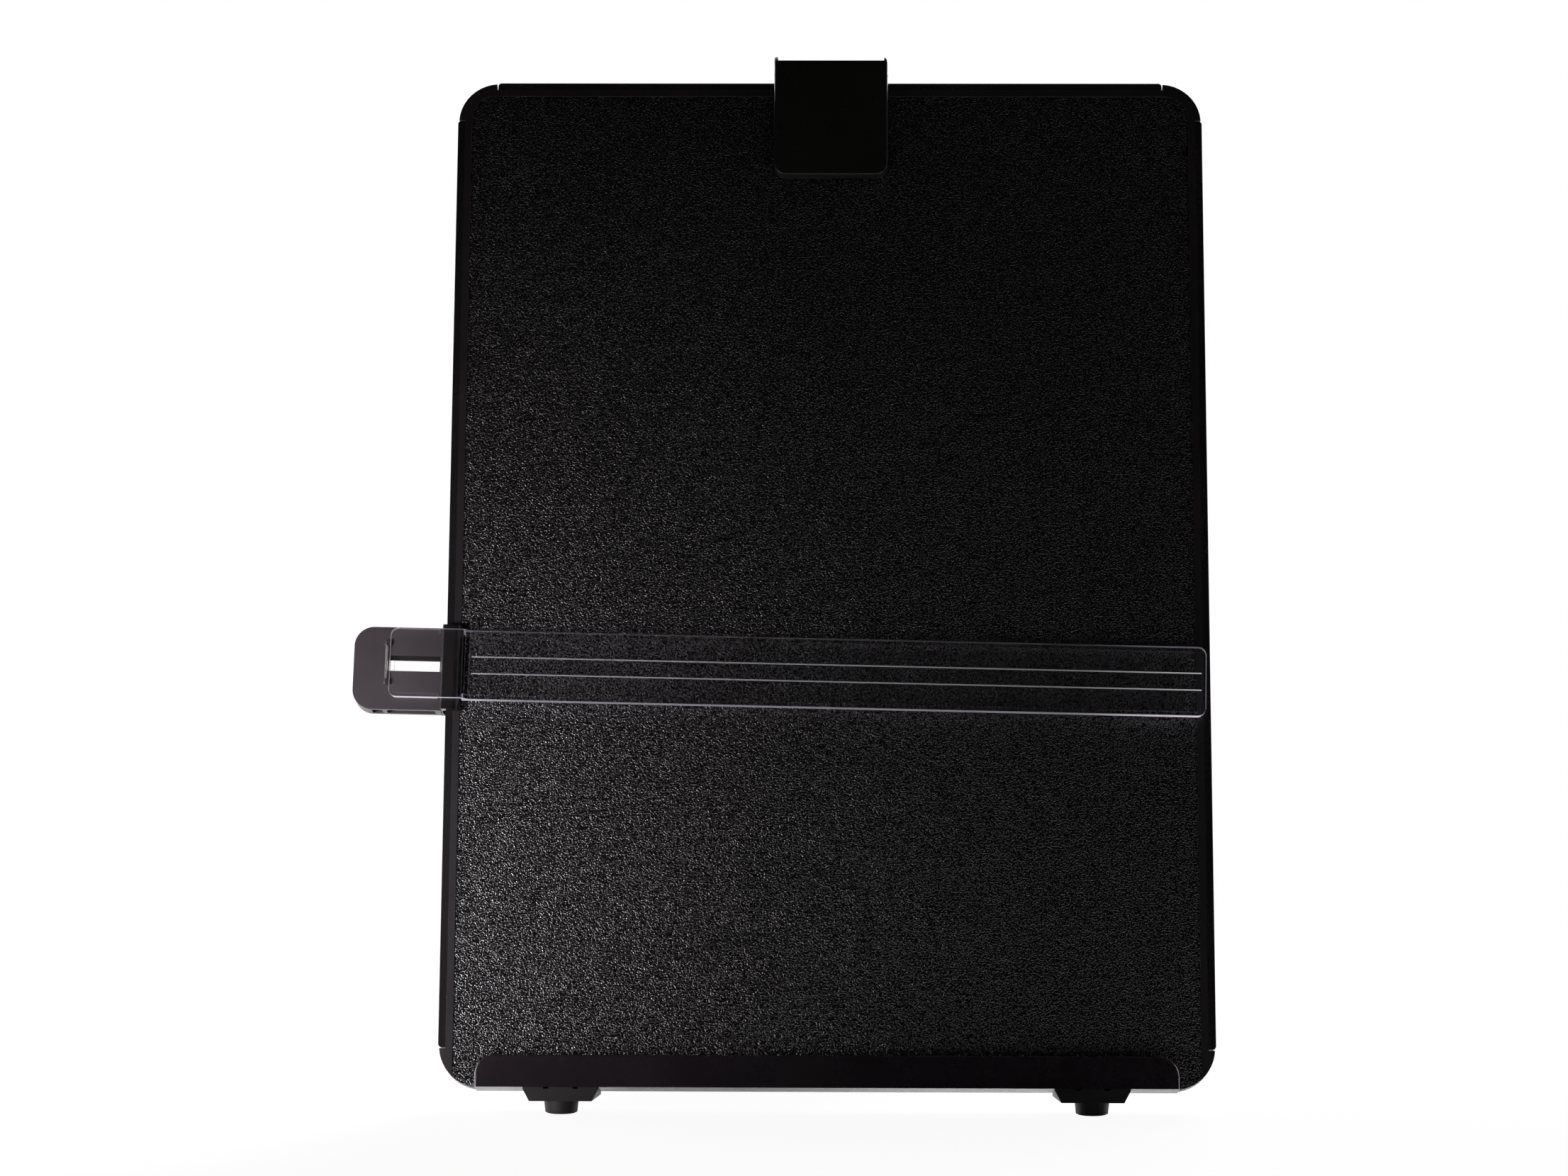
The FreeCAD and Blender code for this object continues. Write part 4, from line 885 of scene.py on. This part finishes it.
@dataclass(frozen=True)
class EaselLeg:
    """The hinge behind the board and the leg that folds against it."""

    board: Shaper = Shaper("board")
    leg: Shaper = Shaper("easel")
    plate_round: float = 0.3 * MM
    washer_round: float = 0.08 * MM
    leg_round: float = 0.45 * MM
    pad_round: float = 0.5 * MM
    pin_radius: float = 1.5 * MM
    pin_half: float = 25.24 * MM
    ring_outer: float = 2.9 * MM
    ring_start: float = 23.54 * MM
    ring_thickness: float = 0.8 * MM
    ring_opening: float = 70.0
    ring_turn: float = 55.0
    ring_steps: int = 30
    plate_surface: float = 8.0 * MM
    plate_height: float = 212.0 * MM
    screw_across: float = 54.0 * MM
    screw_up: float = 14.0 * MM

    def build(self) -> None:
        """Shape and dress every piece."""
        self.board.moulded("hinge_plate", "hinge_bracket", self.plate_round, Finish.MOULDED)
        pin = RoundPin(self.pin_radius, self.pin_half).shape()
        self.board.piece("easel_pin", pin, Finish.ZINC, ["easel_hinge_pin"], SEATS.hinge)
        washers = self.board.softened("hinge_washers", self.washer_round)
        self.board.piece("friction_washers", washers, Finish.ZINC, ["hinge_washers"])
        self.board.piece("retaining_rings", self.rings(), Finish.SPRING, ["hinge_pin_rings"], SEATS.hinge)
        places = [
            (across * self.screw_across / 2, self.plate_height + up * self.screw_up / 2)
            for across in (-1, 1)
            for up in (-1, 1)
        ]
        screws = driven_screws(places, self.plate_surface)
        self.board.piece("plate_screws", screws, Finish.ZINC, ["hinge_bracket_screws"], SEATS.board)
        self.leg.moulded("folding_leg", "easel_leg", self.leg_round, Finish.MOULDED)
        pads = self.leg.softened("leg_foot_pads", self.pad_round, segments=3)
        self.leg.piece("leg_pads", pads, Finish.RUBBER, ["leg_foot_pads"])

    def rings(self) -> bmesh.types.BMesh:
        """Open retaining rings at both ends of the pin."""
        rings = []
        for start in (-self.ring_start - self.ring_thickness, self.ring_start):
            end = start + self.ring_thickness
            outer, inner = self.ring_outer, self.pin_radius
            section = [(start, inner), (start, outer), (end, outer), (end, inner), (start, inner)]
            ring = revolved(section, self.ring_steps, math.radians(360 - self.ring_opening))
            ring.transform(turned(self.ring_turn, "X"))
            rings.append(ring)
        return joined(rings)


@dataclass(frozen=True)
class SheetClip:
    """The sprung clip on the top strip."""

    carriage: Shaper = Shaper("clip_carriage")
    arm: Shaper = Shaper("clip_arm")
    saddle_round: float = 0.2 * MM
    lever_round: float = 0.4 * MM
    grip_round: float = 0.2 * MM
    pin_radius: float = 1.0 * MM
    pin_half: float = 17.9 * MM
    pin_chamfer: float = 0.15 * MM
    wire: float = 0.6 * MM
    wire_sides: int = 10
    coil_radius: float = 1.6 * MM
    coil_half: float = 4.7 * MM
    turns: int = 9
    steps_per_turn: int = 20
    front_leg: float = 7.35 * MM
    back_leg: float = 2.75 * MM

    def build(self) -> None:
        """Shape and dress every piece."""
        saddle = self.carriage.softened("clip_saddle", self.saddle_round)
        self.carriage.piece("hook_saddle", saddle, Finish.MOULDED, ["clip_saddle"])
        pin = RoundPin(self.pin_radius, self.pin_half, self.pin_chamfer).shape()
        self.carriage.piece("lever_pin", pin, Finish.ZINC, ["clip_pin"], SEATS.pin)
        self.carriage.piece("torsion_spring", self.spring(), Finish.SPRING, ["clip_spring"], SEATS.pin)
        self.arm.moulded("lever_tray", "clip_lever", self.lever_round, Finish.LEVER)
        grip = self.arm.softened("clip_grip", self.grip_round)
        self.arm.piece("grip_strip", grip, Finish.RUBBER, ["clip_grip"])

    def spring(self) -> bmesh.types.BMesh:
        """One wire: a straight leg forward, the coil, and a straight leg back."""
        shape = bmesh.new()
        facing = Matrix.Translation((-self.coil_half, -self.front_leg, -self.coil_radius)) @ turned(90, "X")
        bmesh.ops.create_circle(
            shape, segments=self.wire_sides, radius=self.wire / 2, cap_ends=False, matrix=facing
        )
        front = self.drawn_out(shape, shape.edges[:], self.front_leg)
        steps = self.turns * self.steps_per_turn
        coiled = bmesh.ops.spin(
            shape, geom=front, cent=(0, 0, 0), axis=(1, 0, 0), angle=self.turns * math.tau, steps=steps,
            dvec=(2 * self.coil_half / steps, 0, 0), use_merge=False, use_duplicate=False,
        )["geom_last"]
        end = [item for item in coiled if isinstance(item, bmesh.types.BMEdge)]
        self.drawn_out(shape, end, self.back_leg)
        bmesh.ops.holes_fill(shape, edges=[edge for edge in shape.edges if edge.is_boundary])
        bmesh.ops.recalc_face_normals(shape, faces=shape.faces[:])
        return shape

    @staticmethod
    def drawn_out(
        shape: bmesh.types.BMesh, ring: Sequence[bmesh.types.BMEdge], length: float
    ) -> list[bmesh.types.BMEdge]:
        """Draw a ring of edges straight back.

        Args:
            shape: The wire so far.
            ring: The edges at its end.
            length: How far they go along Y.

        Returns:
            The new end's edges.
        """
        drawn = bmesh.ops.extrude_edge_only(shape, edges=ring)["geom"]
        moved = [item for item in drawn if isinstance(item, bmesh.types.BMVert)]
        bmesh.ops.translate(shape, verts=moved, vec=(0, length, 0))
        return edges_between(drawn, moved)


@dataclass(frozen=True)
class LineGuide:
    """The slider on the left edge and the clear guide hinged to it, measured in the slider's axes."""

    slider: Shaper = Shaper("guide_slider")
    bar: Shaper = Shaper("guide_bar")
    shell_finishes: tuple[Finish, ...] = (Finish.PAD, Finish.BURNISHED, Finish.CHANNEL, Finish.WELL)
    bar_finishes: tuple[Finish, ...] = (
        Finish.CLEAR, Finish.CLEAR_EDGE, Finish.SCRIBED,
        Finish.CLEAR_INSIDE, Finish.LOWER_EDGE, Finish.UPPER_EDGE,
    )
    shell_round: float = 0.25 * MM
    leaf_round: float = 0.04 * MM
    bar_round: float = 0.25 * MM
    pin_radius: float = 0.4 * MM
    pin_half: float = 6.8 * MM
    pin_chamfer: float = 0.08 * MM
    pin_steps: int = 16
    pin_place: Point = (-18.3 * MM, -3.75 * MM, 0.8 * MM)
    channel_start: float = -1.2 * MM
    window_reach: float = 4.0 * MM
    knuckle_end: float = -17.2 * MM
    tongue_tip: float = -16.4 * MM
    tongue_end: float = 8.0 * MM
    step_middle: float = 5.9 * MM
    step_half: float = 1.6 * MM
    step_area: float = 10.0 * MM * MM
    step_turn: Span = (0.6, 0.8)
    bar_end: float = 229.6 * MM
    bar_low: float = -9.0 * MM
    bar_high: float = 10.6 * MM
    groove_span: Span = (-2.3 * MM, -1.9 * MM)
    groove_mouth: float = -1.96 * MM
    scribe_heights: Span = (-1.805 * MM, 3.395 * MM)
    scribe_reach: float = 0.2 * MM
    flat_facing: float = 0.985
    level_facing: float = 0.9
    upright_slack: float = 0.01

    def build(self) -> None:
        """Shape and dress every piece."""
        self.slider.piece("slider_shell", self.shell(), self.shell_finishes, ["slider_body"])
        leaf = self.slider.softened("slider_leaf_spring", self.leaf_round, segments=1)
        self.slider.piece("bowed_leaf", leaf, Finish.SPRING, ["slider_leaf_spring"])
        pin = RoundPin(self.pin_radius, self.pin_half, self.pin_chamfer, self.pin_steps).shape()
        pin.transform(turned(90, "Y"))
        seat = SEATS.slider @ Matrix.Translation(self.pin_place)
        self.slider.piece("fine_pin", pin, Finish.ZINC, ["guide_hinge_pin"], seat)
        clear = self.bar.piece("clear_guide", self.clear_bar(), self.bar_finishes, ["line_guide"])
        clear.visible_shadow = False

    def shell(self) -> bmesh.types.BMesh:
        """The slider, its channel painted darker as shade, and its window's walls numbered apart from its
        pad.
        """
        to_slider = SEATS.slider.inverted()
        facing = to_slider.to_3x3()
        shape = self.slider.softened("slider_body", self.shell_round, segments=3)
        for face in shape.faces:
            middle = to_slider @ face.calc_center_median()
            level = abs((facing @ face.normal).z) > self.level_facing
            # The channel's plain faces take the painted shade.
            if face.material_index == PLAIN_FACE and middle.x > self.channel_start:
                face.material_index = self.shell_finishes.index(Finish.CHANNEL)
            elif level and abs(middle.z) < self.window_reach and middle.x < self.channel_start:
                face.material_index = self.shell_finishes.index(Finish.WELL)
        return shape

    def scribed(self, place: Vector) -> bool:
        """Whether a place lies in a scribed line or on its rim."""
        front, back = self.groove_span
        return front < place.y < back and any(
            abs(place.z - height) < self.scribe_reach for height in self.scribe_heights
        )

    def clear_bar(self) -> bmesh.types.BMesh:
        """The guide, each of its faces numbered by the finish that it wears."""
        to_slider = SEATS.slider.inverted()

        def in_groove(edge: bmesh.types.BMEdge) -> bool:
            """Whether an edge belongs to a scribed line."""
            return all(self.scribed(to_slider @ corner.co) for corner in edge.verts)

        shape = self.bar.softened("line_guide", self.bar_round, segments=3, skip=in_groove)
        facing = to_slider.to_3x3()
        for face in shape.faces:
            middle = to_slider @ face.calc_center_median()
            finish = self.bar_finish(middle, facing @ face.normal, face.calc_area())
            face.material_index = self.bar_finishes.index(finish)
        return shape

    def bar_finish(self, middle: Vector, normal: Vector, area: float) -> Finish:
        """The finish of one face of the guide.

        Args:
            middle: The face's middle.
            normal: The way it faces.
            area: Its area.

        Returns:
            The finish.
        """
        is_turned = abs(normal.y) < self.flat_facing
        least, most = self.step_turn
        is_sloped = abs(normal.z) < self.upright_slack and least < abs(normal.x) < most
        is_step = is_sloped and area > self.step_area
        at_step = abs(middle.x - self.step_middle) < self.step_half
        over_tongue = middle.x < self.tongue_end and middle.z > self.bar_high
        at_end = middle.x < self.tongue_tip or middle.x > self.bar_end
        is_outer = at_step or over_tongue or at_end or middle.z < self.bar_low
        is_inner = middle.x < self.knuckle_end or (is_turned and not is_outer)
        if self.scribed(middle) and middle.y < self.groove_mouth:
            return Finish.SCRIBED
        if is_turned and not is_outer and middle.z > self.bar_high:
            return Finish.UPPER_EDGE
        if is_step or is_inner or (not is_turned and middle.x < self.tongue_end):
            return Finish.CLEAR_INSIDE
        if normal.z < -self.level_facing:
            return Finish.LOWER_EDGE
        return Finish.CLEAR_EDGE if is_turned else Finish.CLEAR


# ---------------------------------------------------------------- studio
@dataclass(frozen=True)
class SoftLamp:
    """An area lamp whose honeycomb can keep its beam narrow."""

    name: str
    place: Point
    aim: Point
    width: float
    height: float
    watts: float
    spread: float = 180.0
    colour: Colour = (1.0, 1.0, 1.0)

    def build(self) -> None:
        """Hang the lamp."""
        lamp = bpy.data.lights.new(self.name, "AREA")
        lamp.shape = "RECTANGLE"
        lamp.size = self.width
        lamp.size_y = self.height
        lamp.spread = math.radians(self.spread)
        lamp.energy = self.watts
        lamp.color = self.colour
        item = bpy.data.objects.new(self.name, lamp)
        # The clear guide already lets the lamp's light through, so it doesn't show the lamp as well.
        item.visible_transmission = False
        item.location = self.place
        item.rotation_euler = (Vector(self.aim) - Vector(self.place)).to_track_quat("-Z", "Y").to_euler()
        bpy.context.scene.collection.objects.link(item)


@dataclass(frozen=True)
class Studio:
    """Pale floor, white surroundings, soft lamps and the camera."""

    lens: float = 105.0
    sensor: float = 36.0
    eye: Point = (0.0200, -1.4072, 0.1984)
    target: Point = (0.0006, -0.0099, 0.1552)
    roll: float = 0.1
    floor_size: float = 8.0
    floor_colour: Colour = (0.86, 0.86, 0.86)
    floor_glow: float = 0.94
    floor_whitens: Span = (0.15, 0.6)
    floor_behind: Span = (0.2, 0.8)
    ambient: float = 0.03
    front_gloss: float = 0.007
    gloss_turn: Span = (0.0, 0.5)
    lamps: tuple[SoftLamp, ...] = (
        SoftLamp("left panel", (-1.1, 0.62, 0.3), (0.0, -0.05, 0.2), width=0.6, height=0.8, watts=26.0),
        SoftLamp("right panel", (1.1, 0.66, 0.3), (0.0, -0.05, 0.2), width=0.6, height=0.8, watts=18.0),
        SoftLamp(
            "key lamp", (-0.42, -0.38, 0.08), (-0.25, -0.04, 0.05), width=0.12, height=0.14, watts=0.76,
            spread=57.0, colour=(1.0, 0.94, 0.985),
        ),
        SoftLamp("edge lamp", (0.75, -0.15, 0.45), (0.1, -0.02, 0.2), width=0.05, height=0.5, watts=0.35),
        SoftLamp(
            "back lamp", (0.5, 1.3, 0.9), (0.0, 0.12, 0.17), width=0.9, height=0.9, watts=6.0, spread=60.0,
        ),
    )

    def build(self) -> None:
        """Set the studio up."""
        self.floor()
        self.surroundings()
        for lamp in self.lamps:
            lamp.build()
        self.camera()
        bpy.context.scene.view_settings.view_transform = "Standard"

    def floor(self) -> None:
        """A pale floor that turns into the white surroundings away from the object."""
        shape = bmesh.new()
        bmesh.ops.create_grid(shape, x_segments=1, y_segments=1, size=self.floor_size / 2)
        mesh = bpy.data.meshes.new("studio_floor")
        shape.to_mesh(mesh)
        shape.free()
        floor = bpy.data.objects.new("studio_floor", mesh)
        bpy.context.scene.collection.objects.link(floor)
        graph = Graph(bpy.data.materials.new("pale floor"))
        away = graph.node("ShaderNodeVectorMath", {"operation": "LENGTH"}, {0: graph.place()}, "Value")
        pale = graph.node("ShaderNodeBsdfDiffuse", {}, {"Color": (*self.floor_colour, 1)})
        white = graph.node("ShaderNodeEmission", {}, {"Color": (1, 1, 1, 1), "Strength": 1.0})
        glow = self.floor_glow + away.smooth_step(*self.floor_whitens) * (1 - self.floor_glow)
        behind = graph.coordinate("Y").smooth_step(*self.floor_behind)
        share = glow * graph.ray("Camera") + behind * graph.bent_ray()
        mesh.materials.append(graph.finish(graph.mix_shader(share, pale, white)))

    def surroundings(self) -> None:
        """White to the camera and behind the object, and dim in front of it."""
        world = bpy.data.worlds.new("white surroundings")
        bpy.context.scene.world = world
        graph = Graph(world, "ShaderNodeOutputWorld")
        behind = graph.coordinate("Y").smooth_step(*self.gloss_turn)
        gloss = self.front_gloss + behind * (1 - self.front_gloss)
        camera, bent = graph.ray("Camera"), graph.bent_ray()
        level = camera + (1 - camera) * (bent * gloss + (1 - bent) * self.ambient)
        graph.finish(graph.node("ShaderNodeBackground", {}, {"Color": (1, 1, 1, 1), "Strength": level}))

    def camera(self) -> None:
        """The camera in front of the board, a little above its middle."""
        lens = bpy.data.cameras.new("camera")
        lens.lens = self.lens
        lens.sensor_width = self.sensor
        item = bpy.data.objects.new("camera", lens)
        bpy.context.scene.collection.objects.link(item)
        look = (Vector(self.target) - Vector(self.eye)).to_track_quat("-Z", "Y").to_matrix().to_4x4()
        item.matrix_world = Matrix.Translation(self.eye) @ look @ turned(self.roll, "Z")
        bpy.context.scene.camera = item


def main() -> None:
    """Load the frame, dress every sub-assembly, and set the studio around it."""
    for item in list(bpy.data.objects):
        bpy.data.objects.remove(item)
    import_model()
    for assembly in (LeaningBoard(), EaselLeg(), SheetClip(), LineGuide(), Studio()):
        log.info("building %s", type(assembly).__name__)
        assembly.build()


if __name__ == "__main__":
    logging.basicConfig(level=logging.INFO, format="%(message)s")
    main()
